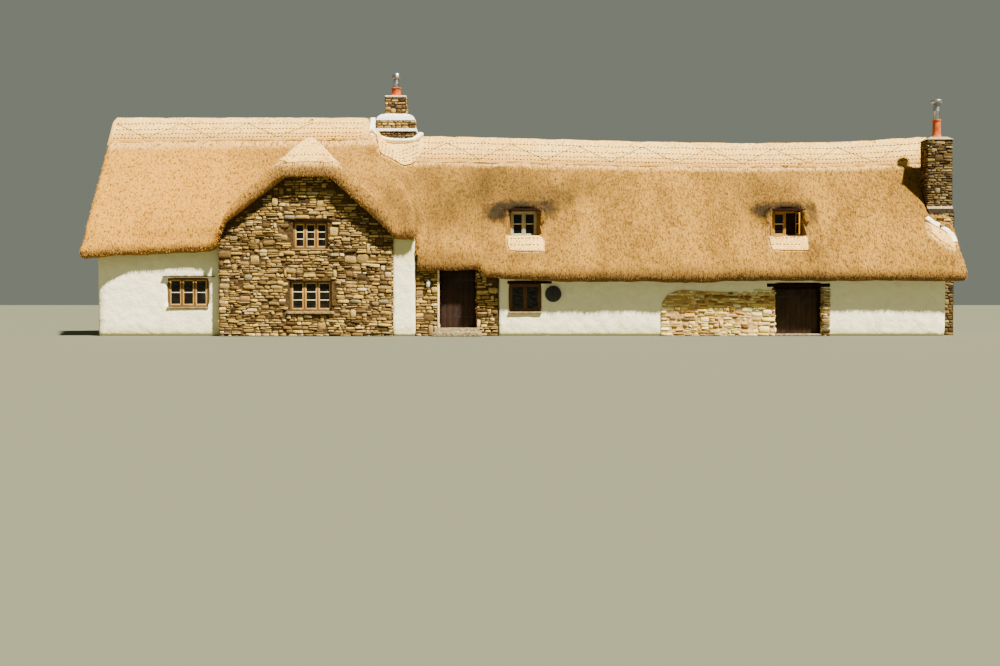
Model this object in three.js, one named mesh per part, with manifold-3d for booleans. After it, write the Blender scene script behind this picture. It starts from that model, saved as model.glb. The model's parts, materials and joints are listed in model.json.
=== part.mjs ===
// Thatched longhouse with a gabled cross wing, two chimneys and two hinged doors.
// Millimetres. +X runs along the front to the right, +Y goes from the front to the back, +Z is up.
// The house is laid out with y = 0 on the outer face of the front wall and z = 0 on the ground, then
// the whole group is moved so that its origin is the centre of its base.
import * as THREE from 'three';
import { mergeVertices } from 'three/addons/utils/BufferGeometryUtils.js';
import Module from 'manifold-3d';

const wasm = await Module();
wasm.setup();

// Gap between pieces that touch.
const GAP = 0.4;

// Plan of the house.
const WALL = 600;
const WEST_FACE = -13950;
const EAST_FACE = 15450;
const DEPTH = 6600;
const RIDGE_Y = DEPTH / 2;
const CORNER_RADIUS = 350;

// Thatch: its ends, its eave line and its thickness measured upright.
const THATCH_WEST = -14300;
const THATCH_EAST = 15900;
const EAVE_Y = -580;
const DOOR_BAY_EAVE_Y = -330;
const THATCH_DROP = 600;
const EAVE_DEPTH = 430;
const VERGE_ROUND = 130;
const SLOPE_FOOT_Y = -500;

// The west range has the higher roof. Its eave rises gently towards the wing.
const WEST_RIDGE_Z = 7940;
const WEST_EAVE = [[-14300, 2740], [-13000, 2850], [-10000, 3000], [-3700, 3300], [-2880, 3300]];
// The east range has the lower roof, with a ridge that sags in the middle.
const EAST_RIDGE = [[-4700, 7260], [-2000, 7250], [4500, 7080], [9000, 6990], [13000, 7050], [15900, 7250]];
const EAST_EAVE = [[-2900, 1990], [4000, 1970], [15900, 1940]];
// Where the two roofs run into each other: start and length of the change, from the eave to the ridge.
const MEETING_Y = [-500, 0, 600, 1500, 2600, 3300];
const MEETING_START = [-2890, -2890, -3300, -4200, -4600, -4760];
const MEETING_LENGTH = [20, 60, 900, 1900, 900, 160];
const MEETING_STATIONS = [-4780, -4680, -4600, -4300, -3800, -3300, -2830, -2640, -2400];
const REAR_MEETING = { start: -4760, length: 160 };
// The eave over the front door is cut shorter and higher.
const DOOR_BAY_WEST = -2880;
const DOOR_BAY_EAST = -680;
const DOOR_BAY_EAVE_Z = 2250;
const STEP_WIDTH = 20;

// Ridge caps, a second layer of straw.
const CAP_RISE = 70;
const CAP_HALF_WIDTH = 780;
const WEST_CAP_END = -4810;
const EAST_CAP_START = -4500;

// Cross wing: gable wall, outline of its thatch (offset from the wing's centre line, height).
const WING_X = -6540;
const WING_WEST = -9600;
const WING_EAST = -3700;
const WING_FRONT_Y = -350;
const WING_INNER_Y = 300;
const WING_VERGE_Y = -750;
const WING_TOP = [[0, 6900], [290, 6690], [880, 6030], [2080, 5020], [2840, 4150], [3030, 3600]];
const WING_TOP_EAST_FOOT = [3050, 3400];
const WING_TOP_WEST_FOOT = [-3260, 3040];
const WING_UNDER_EAST = [[0, 6200], [510, 5640], [2920, 3410]];
const WING_UNDER_WEST = [[-3180, 3030], [-2770, 3880], [-500, 5640]];
// Half hip over the wing's gable: height at the verge and rise for each unit of depth.
const HIP_FOOT_Z = 5860;
const HIP_UNDER_Z = 5510;
const HIP_RISE = 1.158;

// Dormers: centre lines, sill and head of the opening, and the boarded recess that narrows inwards.
const DORMERS = [835, 10045];
const DORMER_SILL = 3450;
const DORMER_HEAD = 4390;
const DORMER_MOUTH = 640;
const DORMER_THROAT = 480;
const DORMER_MOUTH_Y = 420;
const DORMER_FRAME_Y = 1000;
const DORMER_BACK_Y = 1380;
const DORMER_BOARD = 30;
const DORMER_STATIONS = [-1500, -1100, -750, -400, 0, 400, 750, 1100, 1500];
// The thatch swells over each dormer: it rises from the foot to the crest and dies out above it.
const BROW_RISE = 430;
const BROW_HALF_WIDTH = 1500;
const BROW_FOOT_Y = 350;
const BROW_CREST_Y = 900;
const BROW_FALL_Y = 1150;
const BROW_END_Y = 2400;

// Doors.
const FRONT_DOOR = { west: -2120, east: -810, sill: 285, head: 2340 };
const SHIPPON_DOOR = { west: 9480, east: 11100, sill: 80, head: 1690 };
const POST = 80;
const DOOR_FRAME_Y = 220;
const DOOR_FRAME_DEPTH = 100;
const STOP_LAP = 30;
const LEAF_THICKNESS = 50;
const LEAF_CLEARANCE = 7;
const LEAF_FOOT_CLEARANCE = 10;
const UPPER_TREAD = { west: -2250, east: -700, front: -330, top: FRONT_DOOR.sill };
const LOWER_TREAD = { west: -2330, east: -620, front: -640, back: -300, top: 150 };

// Beams over the openings.
const SHIPPON_LINTEL = { west: 9200, east: 11380, back: 500, foot: SHIPPON_DOOR.head, head: 1810 };
const WINDOW_LINTEL = { west: 255, east: 1793, back: 150, foot: 1800, head: 1900 };

// Seams between wall pieces, and the face of the pier beside the front door.
const PIER_EAST = -2900;
const PIER_FRONT_Y = -250;
const DOOR_PIER_END = -70;
const REAR_SEAM = -3200;
const WALL_HEIGHT = 9000;

// Seams between thatch pieces.
const WEST_WING_SEAM = -9760;
const WING_CENTRE_SEAM = -3560;
const CENTRE_EAST_SEAM = 5200;
const REAR_THATCH_SEAM = -4770;

// Floors.
const HOUSE_FLOOR_Z = 270;
const SHIPPON_FLOOR_Z = 70;
const FLOOR_CHANGE_X = 8600;
const UPPER_FLOOR_FOOT = 2350;
const UPPER_FLOOR_TOP = 2500;

// Windows: left and right edge, sill, head, lights.
const WINDOW_RECESS = 110;
const WINDOW_DEPTH = 90;
const WINDOW_RAIL = 65;
const MULLION = 60;
const PANE = 12;
const WINDOWS = {
  window_west: { west: -11470, east: -10070, sill: 1000, head: 2000, lights: 3, face: 0 },
  gable_window_lower: { west: -7200, east: -5750, sill: 860, head: 1900, lights: 3, face: WING_FRONT_Y },
  gable_window_upper: { west: -7080, east: -5880, sill: 2980, head: 3910, lights: 3, face: WING_FRONT_Y },
  window_middle: { west: 320, east: 1410, sill: 840, head: 1800, lights: 2, face: 0 },
};
const REAR_WINDOWS = {
  rear_window_1: { west: -11400, east: -10000, sill: 1000, head: 2000, lights: 3 },
  rear_window_2: { west: -2000, east: -600, sill: 900, head: 1850, lights: 3 },
  rear_window_3: { west: 5200, east: 6300, sill: 840, head: 1800, lights: 2 },
};

// Central chimney, straddling the step between the two ridges.
const STACK_WEST = -4560;
const STACK_EAST = -3140;
const STACK_FRONT_Y = 3080;
const STACK_BACK_Y = 3920;
const STACK_TOP = 7870;
const LEDGE_Z = 7470;
const LEDGE_REACH = 60;
const LEDGE_HEIGHT = 90;
const SHOULDER_Z = 8100;
// The mortar shoulder is rounded: share of its height, share of the way in to the shaft.
const SHOULDER_CURVE = [[0.4, 0.08], [0.75, 0.32], [0.95, 0.66]];
const SHAFT_HALF = 385;
const SHAFT_TOP = 8780;
const POT_TOP = 9120;
const LINER_TOP = 9460;
const COWL_TOP = 9680;

// Chimney in the east end wall, standing on the front slope.
const END_STACK = { west: 15110, east: 16000, front: 1000, back: 2150, shoulder: 4300, neck: 4560 };
const END_SHAFT = { front: 1200, back: 1950, top: 6920 };
const END_SLAB_TOP = 7020;
const END_SLAB_REACH = 45;
const END_POT_TOP = 7660;
const END_LINER_TOP = 8250;
const END_COWL_TOP = 8400;

// Fittings on the front wall.
const LANTERN_AT = [-2470, -130 - GAP, 1660];
const DISC_AT = [1830, -120, 1450];
const DISC_RADIUS = 280;
const DISC_THICKNESS = 30;

// Materials.
const paint = (name, color, roughness, metalness = 0) =>
  new THREE.MeshStandardMaterial({ name, color, roughness, metalness });
const FINISH = {
  limewash: paint('limewash', 0xece6d6, 0.9),
  rubble: paint('rubble', 0x8f7f66, 0.95),
  thatch: paint('thatch', 0xb58f5c, 1.0),
  ridge: paint('ridge_straw', 0xd2bd9a, 1.0),
  oak: paint('oak', 0xb98446, 0.6),
  cream: paint('cream_frame', 0xd8d0a8, 0.6),
  brown: paint('brown_frame', 0x5a3d22, 0.6),
  plank: paint('dark_plank', 0x2c1b13, 0.7),
  beam: paint('black_beam', 0x1c1815, 0.8),
  slate: paint('slate_floor', 0x5f5c58, 0.8),
  boards: paint('floor_boards', 0x7a5a3a, 0.7),
  clay: paint('terracotta', 0xb5562f, 0.85),
  steel: paint('stainless', 0xa7a9aa, 0.35, 0.9),
  iron: paint('black_iron', 0x151515, 0.5, 0.6),
};

// Solids.

function solidFrom(geometry) {
  const bare = geometry.clone();
  bare.deleteAttribute('normal');
  bare.deleteAttribute('uv');
  const merged = mergeVertices(bare, 1e-3);
  const mesh = new wasm.Mesh({
    numProp: 3,
    vertProperties: new Float32Array(merged.attributes.position.array),
    triVerts: new Uint32Array(merged.index.array),
  });
  return new wasm.Manifold(mesh);
}

function geometryFrom(solid) {
  const mesh = solid.getMesh();
  const geometry = new THREE.BufferGeometry();
  geometry.setAttribute('position', new THREE.BufferAttribute(new Float32Array(mesh.vertProperties), 3));
  geometry.setIndex(new THREE.BufferAttribute(new Uint32Array(mesh.triVerts), 1));
  geometry.computeVertexNormals();
  return geometry;
}

// A block between two corners.
function block(x0, x1, y0, y1, z0, z1) {
  const geometry = new THREE.BoxGeometry(x1 - x0, y1 - y0, z1 - z0);
  geometry.translate((x0 + x1) / 2, (y0 + y1) / 2, (z0 + z1) / 2);
  return solidFrom(geometry);
}

const shapeOf = (points) => new THREE.Shape(points.map(([a, b]) => new THREE.Vector2(a, b)));

// A plan outline in x and y, raised from z0 to z1.
function raisePlan(shape, z0, z1) {
  const geometry = new THREE.ExtrudeGeometry(shape, { depth: z1 - z0, bevelEnabled: false, curveSegments: 6 });
  geometry.translate(0, 0, z0);
  return solidFrom(geometry);
}

// A front outline in x and z, carried from y0 to y1.
function carryBack(points, y0, y1) {
  const geometry = new THREE.ExtrudeGeometry(shapeOf(points), { depth: y1 - y0, bevelEnabled: false });
  geometry.rotateX(Math.PI / 2);
  geometry.translate(0, y1, 0);
  return solidFrom(geometry);
}

// A turned piece on an upright axis, from radius and height pairs that start and end on the axis.
function turned(profile, sides = 20) {
  const points = profile.map(([radius, height]) => new THREE.Vector2(radius, height));
  const geometry = new THREE.LatheGeometry(points, sides);
  geometry.rotateX(Math.PI / 2);
  return solidFrom(geometry);
}

// A closed skin through rings of points that all have the same count. The flat ends are filled between
// the two halves of the ring, from its first and last points to the middle.
function loft(rings) {
  const count = rings[0].length;
  const last = (rings.length - 1) * count;
  const triangles = [];
  for (let station = 0; station < rings.length - 1; station += 1) {
    for (let step = 0; step < count; step += 1) {
      const a = station * count + step;
      const b = station * count + ((step + 1) % count);
      triangles.push([a, b, a + count], [b, b + count, a + count]);
    }
  }
  for (let step = 0; count - 1 - step > step + 1; step += 1) {
    const [a, b, c, d] = [step, step + 1, count - 1 - step, count - 2 - step];
    triangles.push([b, a, c], [last + a, last + b, last + c]);
    if (b !== d) triangles.push([b, c, d], [last + b, last + d, last + c]);
  }
  const points = rings.flat();
  const volume = triangles.reduce((sum, [a, b, c]) =>
    sum + points[a].dot(new THREE.Vector3().crossVectors(points[b], points[c])), 0);
  const outward = volume > 0 ? triangles : triangles.map(([a, b, c]) => [a, c, b]);
  const geometry = new THREE.BufferGeometry().setFromPoints(points);
  geometry.setIndex(outward.flat());
  return solidFrom(geometry);
}

const joined = (solids) => solids.reduce((whole, solid) => whole.add(solid));

// Roof surfaces.

// The value of a table of [place, value] pairs at a place, straight between its entries.
function along(table, place) {
  if (place <= table[0][0]) return table[0][1];
  for (let entry = 1; entry < table.length; entry += 1) {
    const [from, low] = table[entry - 1];
    const [to, high] = table[entry];
    if (place <= to) return low + ((high - low) * (place - from)) / (to - from);
  }
  return table.at(-1)[1];
}

const pairs = (places, values) => places.map((place, entry) => [place, values[entry]]);
const MEETING_START_TABLE = pairs(MEETING_Y, MEETING_START);
const MEETING_LENGTH_TABLE = pairs(MEETING_Y, MEETING_LENGTH);

function ease(share) {
  const held = Math.min(1, Math.max(0, share));
  return held * held * (3 - 2 * held);
}

// How far the roof has changed from the west range to the east range at a place.
function eastShare(x, y) {
  const start = along(MEETING_START_TABLE, y);
  return ease((x - start) / along(MEETING_LENGTH_TABLE, y));
}

const rearEastShare = (x) => ease((x - REAR_MEETING.start) / REAR_MEETING.length);

// The lift of the thatch over the dormers.
function brow(x, y) {
  const nearest = Math.min(...DORMERS.map((centre) => Math.abs(x - centre)));
  if (nearest > BROW_HALF_WIDTH) return 0;
  const across = Math.cos((nearest / BROW_HALF_WIDTH) * (Math.PI / 2)) ** 2;
  const up = ease((y - BROW_FOOT_Y) / (BROW_CREST_Y - BROW_FOOT_Y));
  const down = ease((y - BROW_FALL_Y) / (BROW_END_Y - BROW_FALL_Y));
  return BROW_RISE * across * up * (1 - down);
}

// Outer surface of the long roof. The rear half mirrors the front without the wing and the door bay.
function longRoof(x, y) {
  const front = y <= RIDGE_Y;
  const depth = front ? y : DEPTH - y;
  const westFoot = along(WEST_EAVE, x) + EAVE_DEPTH;
  const eastFoot = along(EAST_EAVE, x) + EAVE_DEPTH;
  const run = (depth - SLOPE_FOOT_Y) / (RIDGE_Y - SLOPE_FOOT_Y);
  const west = westFoot + (WEST_RIDGE_Z - westFoot) * run;
  const east = eastFoot + (along(EAST_RIDGE, x) - eastFoot) * run;
  const share = front ? eastShare(x, depth) : rearEastShare(x);
  return west + (east - west) * share + brow(x, depth);
}

// Lowest edge of the eave.
function eaveFoot(x, front) {
  if (!front) return longRoof(x, DEPTH - SLOPE_FOOT_Y) - EAVE_DEPTH;
  if (x < DOOR_BAY_WEST) return along(WEST_EAVE, x);
  return x < DOOR_BAY_EAST ? DOOR_BAY_EAVE_Z : along(EAST_EAVE, x);
}

const inDoorBay = (x) => x > DOOR_BAY_WEST && x < DOOR_BAY_EAST;
const SLOPE_STEPS = [-100, 400, 700, 950, 1200, 1600, 2100, 2700, 3080, 3230];
const NOSE = [[200, 0], [60, 70], [0, 230], [30, 360]];

// One section across the long roof, filled solid. Rise lifts it, and tuck pulls it in at the verges.
function roofRing(x, rise, tuck) {
  const edge = inDoorBay(x) ? DOOR_BAY_EAVE_Y : EAVE_Y;
  const foot = eaveFoot(x, true);
  const rearFoot = eaveFoot(x, false);
  const lift = rise - tuck;
  const ring = NOSE.map(([reach, height]) => new THREE.Vector3(x, edge + reach, foot + height + tuck * 0.3));
  for (const y of SLOPE_STEPS) ring.push(new THREE.Vector3(x, y, longRoof(x, y) + lift));
  ring.push(new THREE.Vector3(x, RIDGE_Y, longRoof(x, RIDGE_Y) + lift - 25));
  for (const y of SLOPE_STEPS.toReversed()) {
    ring.push(new THREE.Vector3(x, DEPTH - y, longRoof(x, DEPTH - y) + lift));
  }
  for (const [reach, height] of NOSE.toReversed()) {
    ring.push(new THREE.Vector3(x, DEPTH - EAVE_Y - reach, rearFoot + height + tuck * 0.3));
  }
  return ring;
}

// The space under the long roof, at one section, down past the ground.
function underRing(x, drop) {
  const ring = [new THREE.Vector3(x, -1100, -500)];
  for (const y of [-1100, ...SLOPE_STEPS]) ring.push(new THREE.Vector3(x, y, longRoof(x, y) - drop));
  ring.push(new THREE.Vector3(x, RIDGE_Y, longRoof(x, RIDGE_Y) - drop - 60));
  for (const y of [-1100, ...SLOPE_STEPS].toReversed()) {
    ring.push(new THREE.Vector3(x, DEPTH - y, longRoof(x, DEPTH - y) - drop));
  }
  ring.push(new THREE.Vector3(x, DEPTH + 1100, -500));
  return ring;
}

// Places of the sections: even steps, with more where the roof changes.
function roofStations() {
  const places = new Set([THATCH_WEST + VERGE_ROUND, THATCH_EAST - VERGE_ROUND]);
  for (let x = -13400; x < THATCH_EAST - 800; x += 1300) places.add(x);
  for (const x of [DOOR_BAY_WEST, DOOR_BAY_EAST]) {
    places.add(x - STEP_WIDTH / 2);
    places.add(x + STEP_WIDTH / 2);
  }
  for (const x of MEETING_STATIONS) places.add(x);
  for (const centre of DORMERS) {
    for (const side of DORMER_STATIONS) places.add(centre + side);
  }
  const ordered = [...places].sort((a, b) => a - b);
  return ordered.filter((x, entry) => entry === 0 || x - ordered[entry - 1] > STEP_WIDTH - 1);
}

function filledRoof(rise) {
  const rings = [roofRing(THATCH_WEST, rise, VERGE_ROUND)];
  for (const x of roofStations()) rings.push(roofRing(x, rise, 0));
  rings.push(roofRing(THATCH_EAST, rise, VERGE_ROUND));
  return loft(rings);
}

function spaceUnderRoof(drop) {
  const places = [THATCH_WEST - 300, ...roofStations(), THATCH_EAST + 500];
  return loft(places.map((x) => underRing(x, drop)));
}

// Wing roof.

function wingOutline(rise) {
  const east = WING_TOP.map(([offset, z]) => [WING_X + offset, z + rise]);
  const west = WING_TOP.slice(1).map(([offset, z]) => [WING_X - offset, z + rise]).toReversed();
  const eastFoot = [WING_X + WING_TOP_EAST_FOOT[0], WING_TOP_EAST_FOOT[1]];
  const westFoot = [WING_X + WING_TOP_WEST_FOOT[0], WING_TOP_WEST_FOOT[1]];
  return [westFoot, ...west, ...east, eastFoot];
}

function wingRing(y, rise, tuck) {
  const ring = wingOutline(rise);
  const last = ring.length - 1;
  return ring.map(([x, z], entry) => {
    const foot = entry === 0 || entry === last;
    const inward = Math.sign(WING_X - x) * tuck * 0.5;
    return new THREE.Vector3(x + inward, y, foot ? z + tuck * 0.2 : z - tuck);
  });
}

// Everything under a plane that rises inwards from the verge.
function underHip(footZ, rise) {
  const reach = 3500;
  const low = footZ + rise - reach * HIP_RISE;
  const high = footZ + rise + reach * HIP_RISE;
  const side = [
    [WING_VERGE_Y - reach, -1000],
    [WING_VERGE_Y - reach, low],
    [WING_VERGE_Y + reach, high],
    [WING_VERGE_Y + reach, -1000],
  ];
  const rings = [WING_X - 4000, WING_X + 4000].map((x) => side.map(([y, z]) => new THREE.Vector3(x, y, z)));
  return loft(rings);
}

function filledWing(rise) {
  const rings = [
    wingRing(WING_VERGE_Y, rise, VERGE_ROUND),
    wingRing(WING_VERGE_Y + VERGE_ROUND, rise, 0),
    wingRing(RIDGE_Y - 300, rise, 0),
  ];
  return loft(rings).intersect(underHip(HIP_FOOT_Z, rise));
}

function spaceUnderWing(drop) {
  const roofline = [...WING_UNDER_WEST, ...WING_UNDER_EAST].map(([offset, z]) => [WING_X + offset, z - drop]);
  const west = roofline[0][0];
  const east = roofline.at(-1)[0];
  const outline = [[west, -500], ...roofline, [east, -500]];
  const space = carryBack(outline, WING_VERGE_Y - 500, RIDGE_Y);
  return space.intersect(underHip(HIP_UNDER_Z - 230, -drop));
}

// Chimney stacks, each one mass of masonry.

// The lower part of the central stack with its drip ledge, grown on every side to cut a hole for it.
function stackBase(grow) {
  const ring = (reach, z0, z1) => block(
    STACK_WEST - reach,
    STACK_EAST + reach,
    STACK_FRONT_Y - reach,
    STACK_BACK_Y + reach,
    z0,
    z1,
  );
  const ledge = ring(LEDGE_REACH + grow, LEDGE_Z - grow, LEDGE_Z + LEDGE_HEIGHT + grow);
  return ring(grow, 0, STACK_TOP).add(ledge);
}

function centralStack() {
  const centreX = (STACK_WEST + STACK_EAST) / 2;
  const centreY = (STACK_FRONT_Y + STACK_BACK_Y) / 2;
  const ring = (halfX, halfY, z) => [
    new THREE.Vector3(centreX - halfX, centreY - halfY, z),
    new THREE.Vector3(centreX + halfX, centreY - halfY, z),
    new THREE.Vector3(centreX + halfX, centreY + halfY, z),
    new THREE.Vector3(centreX - halfX, centreY + halfY, z),
  ];
  const halfX = (STACK_EAST - STACK_WEST) / 2 - 1;
  const halfY = (STACK_BACK_Y - STACK_FRONT_Y) / 2 - 1;
  const shaftY = SHAFT_HALF - 40;
  const rounded = SHOULDER_CURVE.map(([up, inward]) => ring(
    halfX + (SHAFT_HALF - halfX) * inward,
    halfY + (shaftY - halfY) * inward,
    STACK_TOP + (SHOULDER_Z - STACK_TOP) * up,
  ));
  const upper = loft([
    ring(halfX, halfY, STACK_TOP - 5),
    ...rounded,
    ring(SHAFT_HALF, shaftY, SHOULDER_Z),
    ring(SHAFT_HALF, shaftY, SHAFT_TOP),
  ]);
  return stackBase(0).add(upper);
}

function endStack(grow) {
  const side = [
    [END_STACK.front - grow, 0],
    [END_STACK.front - grow, END_STACK.shoulder],
    [END_SHAFT.front - grow, END_STACK.neck],
    [END_SHAFT.front - grow, END_SHAFT.top],
    [END_SHAFT.back + grow, END_SHAFT.top],
    [END_SHAFT.back + grow, END_STACK.neck],
    [END_STACK.back + grow, END_STACK.shoulder],
    [END_STACK.back + grow, 0],
  ];
  const rings = [END_STACK.west - grow, END_STACK.east + grow].map((x) =>
    side.map(([y, z]) => new THREE.Vector3(x, y, z)));
  return loft(rings);
}

function endSlab() {
  return block(
    END_STACK.west - END_SLAB_REACH,
    END_STACK.east + END_SLAB_REACH,
    END_SHAFT.front - END_SLAB_REACH,
    END_SHAFT.back + END_SLAB_REACH,
    END_SHAFT.top - 5,
    END_SLAB_TOP,
  );
}

// Windows, doors and dormers, each about its own origin.

// A casement window with its sill's left outer corner at the origin: frame, mullions and panes.
function casement(width, height, lights) {
  const frame = block(0, width, 0, WINDOW_DEPTH, 0, height);
  const clear = (width - 2 * WINDOW_RAIL - (lights - 1) * MULLION) / lights;
  let whole = frame;
  for (let light = 0; light < lights; light += 1) {
    const x = WINDOW_RAIL + light * (clear + MULLION);
    whole = whole.subtract(block(x, x + clear, -1, WINDOW_DEPTH + 1, WINDOW_RAIL, height - WINDOW_RAIL));
  }
  const middle = WINDOW_DEPTH / 2;
  const pane = block(10, width - 10, middle - PANE / 2, middle + PANE / 2, 10, height - 10);
  return whole.add(pane);
}

// A plank leaf that lies back from its hinge edge, which is the origin, on the inner face.
function leaf(width, height, towards) {
  const x0 = towards < 0 ? -width : 0;
  return block(x0, x0 + width, -LEAF_THICKNESS, 0, 0, height);
}

function doorFrame(door) {
  const y0 = DOOR_FRAME_Y;
  const y1 = DOOR_FRAME_Y + DOOR_FRAME_DEPTH;
  const whole = block(door.west + GAP, door.east - GAP, y0, y1, door.sill + GAP, door.head - GAP);
  const clear = block(door.west + POST, door.east - POST, y0 - 1, y1 + 1, door.sill - 10, door.head - POST);
  return whole.subtract(clear);
}

const leafWidth = (door) => door.east - door.west - 2 * POST + 2 * STOP_LAP;
const leafHeight = (door) => door.head - POST + STOP_LAP - door.sill - LEAF_FOOT_CLEARANCE;

// Plan outline of a dormer's recess, drawn in by an inset, with its mouth carried forward by a reach.
function recessPlan(inset, reach) {
  const mouth = DORMER_MOUTH - inset;
  const throat = DORMER_THROAT - inset;
  return shapeOf([
    [-mouth, DORMER_MOUTH_Y - reach],
    [mouth, DORMER_MOUTH_Y - reach],
    [mouth, DORMER_MOUTH_Y],
    [throat, DORMER_FRAME_Y],
    [throat, DORMER_BACK_Y],
    [-throat, DORMER_BACK_Y],
    [-throat, DORMER_FRAME_Y],
    [-mouth, DORMER_MOUTH_Y],
  ]);
}

function dormerCut() {
  return raisePlan(recessPlan(-GAP, 900), DORMER_SILL - GAP, DORMER_HEAD + GAP);
}

// Lining boards trimmed to the slope, with the window set in their throat.
function dormer(centre, roof) {
  const outer = raisePlan(recessPlan(0, 0), DORMER_SILL, DORMER_HEAD);
  const inner = raisePlan(recessPlan(DORMER_BOARD, 900), DORMER_SILL + DORMER_BOARD, DORMER_HEAD - DORMER_BOARD);
  const through = block(
    DORMER_BOARD - DORMER_THROAT,
    DORMER_THROAT - DORMER_BOARD,
    DORMER_FRAME_Y,
    DORMER_BACK_Y + 100,
    DORMER_SILL + DORMER_BOARD,
    DORMER_HEAD - DORMER_BOARD,
  );
  const lining = outer.subtract(inner).subtract(through).intersect(roof.translate(-centre, 0, -15));
  const width = 2 * (DORMER_THROAT - DORMER_BOARD) + 10;
  const height = DORMER_HEAD - DORMER_SILL - 2 * DORMER_BOARD + 10;
  const window = casement(width, height, 2);
  return lining.add(window.translate(-width / 2, DORMER_FRAME_Y, DORMER_SILL + DORMER_BOARD - 5));
}

// Walls.

// A wall block with its top cut to the underside of the thatch.
const underRoof = spaceUnderRoof(THATCH_DROP + GAP).add(spaceUnderWing(GAP));

function wall(x0, x1, y0, y1, z0 = 0) {
  return block(x0 + GAP / 2, x1 - GAP / 2, y0, y1, z0, WALL_HEIGHT).intersect(underRoof);
}

// A beam over an opening, grown on every side to cut its bed.
function beam(spec, grow) {
  return block(spec.west - grow, spec.east + grow, -grow, spec.back + grow, spec.foot - grow, spec.head + grow);
}

function windowHole(spec, y0, y1) {
  return block(spec.west, spec.east, y0, y1, spec.sill, spec.head);
}

function endWall(outer, inner, rounding) {
  const away = Math.sign(outer - inner);
  const shape = new THREE.Shape();
  shape.moveTo(inner, 0);
  shape.lineTo(outer - away * rounding, 0);
  shape.quadraticCurveTo(outer, 0, outer, rounding);
  shape.lineTo(outer, DEPTH - rounding);
  shape.quadraticCurveTo(outer, DEPTH, outer - away * rounding, DEPTH);
  shape.lineTo(inner, DEPTH);
  return raisePlan(shape, 0, WALL_HEIGHT).intersect(underRoof);
}

// Assembly.

const house = new THREE.Group();

function add(name, solid, material, position = [0, 0, 0], turn = 0) {
  const mesh = new THREE.Mesh(geometryFrom(solid), material);
  mesh.name = name;
  mesh.position.set(...position);
  mesh.rotation.z = turn;
  house.add(mesh);
}

function addWindow(name, spec) {
  const width = spec.east - spec.west - 2 * GAP;
  const height = spec.head - spec.sill - 2 * GAP;
  const rear = spec.face === undefined;
  const x = rear ? spec.east - GAP : spec.west + GAP;
  const y = rear ? DEPTH - WINDOW_RECESS : spec.face + WINDOW_RECESS;
  const material = name === 'window_middle' ? FINISH.brown : FINISH.oak;
  add(name, casement(width, height, spec.lights), material, [x, y, spec.sill + GAP], rear ? Math.PI : 0);
}

function addWalls() {
  const inner = WALL;
  const past = WALL + 100;
  const rearPast = [DEPTH - past, DEPTH + 100];
  const lintel = beam(SHIPPON_LINTEL, GAP);
  add('west_end_wall', endWall(WEST_FACE, WEST_FACE + WALL - GAP, CORNER_RADIUS), FINISH.limewash);
  const eastEnd = endWall(EAST_FACE, EAST_FACE - WALL + GAP, 60).subtract(endStack(GAP));
  add('east_end_wall', eastEnd, FINISH.limewash);
  const west = wall(WEST_FACE + WALL, WING_WEST, 0, inner).subtract(windowHole(WINDOWS.window_west, -1, past));
  add('front_wall_west', west, FINISH.limewash);
  const gable = wall(WING_WEST, WING_EAST, WING_FRONT_Y, WING_INNER_Y)
    .subtract(windowHole(WINDOWS.gable_window_lower, -1000, past))
    .subtract(windowHole(WINDOWS.gable_window_upper, -1000, past));
  add('wing_gable_wall', gable, FINISH.rubble);
  add('white_pier', wall(WING_EAST, PIER_EAST, PIER_FRONT_Y, inner), FINISH.limewash);
  add('door_pier_west', wall(PIER_EAST, FRONT_DOOR.west, 0, inner), FINISH.rubble);
  add('door_pier_east', wall(FRONT_DOOR.east, DOOR_PIER_END, 0, inner), FINISH.rubble);
  const doorHead = wall(FRONT_DOOR.west, FRONT_DOOR.east, 0, inner, FRONT_DOOR.head);
  add('door_head_wall', doorHead, FINISH.limewash);
  const middle = wall(DOOR_PIER_END, SHIPPON_DOOR.west, 0, inner)
    .subtract(windowHole(WINDOWS.window_middle, -1, past))
    .subtract(beam(WINDOW_LINTEL, GAP))
    .subtract(lintel);
  add('front_wall_middle', middle, FINISH.limewash);
  const shipponHead = wall(SHIPPON_DOOR.west, SHIPPON_DOOR.east, 0, inner, SHIPPON_DOOR.head).subtract(lintel);
  add('shippon_head_wall', shipponHead, FINISH.limewash);
  const east = wall(SHIPPON_DOOR.east, EAST_FACE - WALL, 0, inner).subtract(lintel);
  add('front_wall_east', east, FINISH.limewash);
  const rearWest = wall(WEST_FACE + WALL, REAR_SEAM, DEPTH - WALL, DEPTH)
    .subtract(windowHole(REAR_WINDOWS.rear_window_1, ...rearPast));
  add('rear_wall_west', rearWest, FINISH.limewash);
  const rearEast = wall(REAR_SEAM, EAST_FACE - WALL, DEPTH - WALL, DEPTH)
    .subtract(windowHole(REAR_WINDOWS.rear_window_2, ...rearPast))
    .subtract(windowHole(REAR_WINDOWS.rear_window_3, ...rearPast));
  add('rear_wall_east', rearEast, FINISH.limewash);
}

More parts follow.
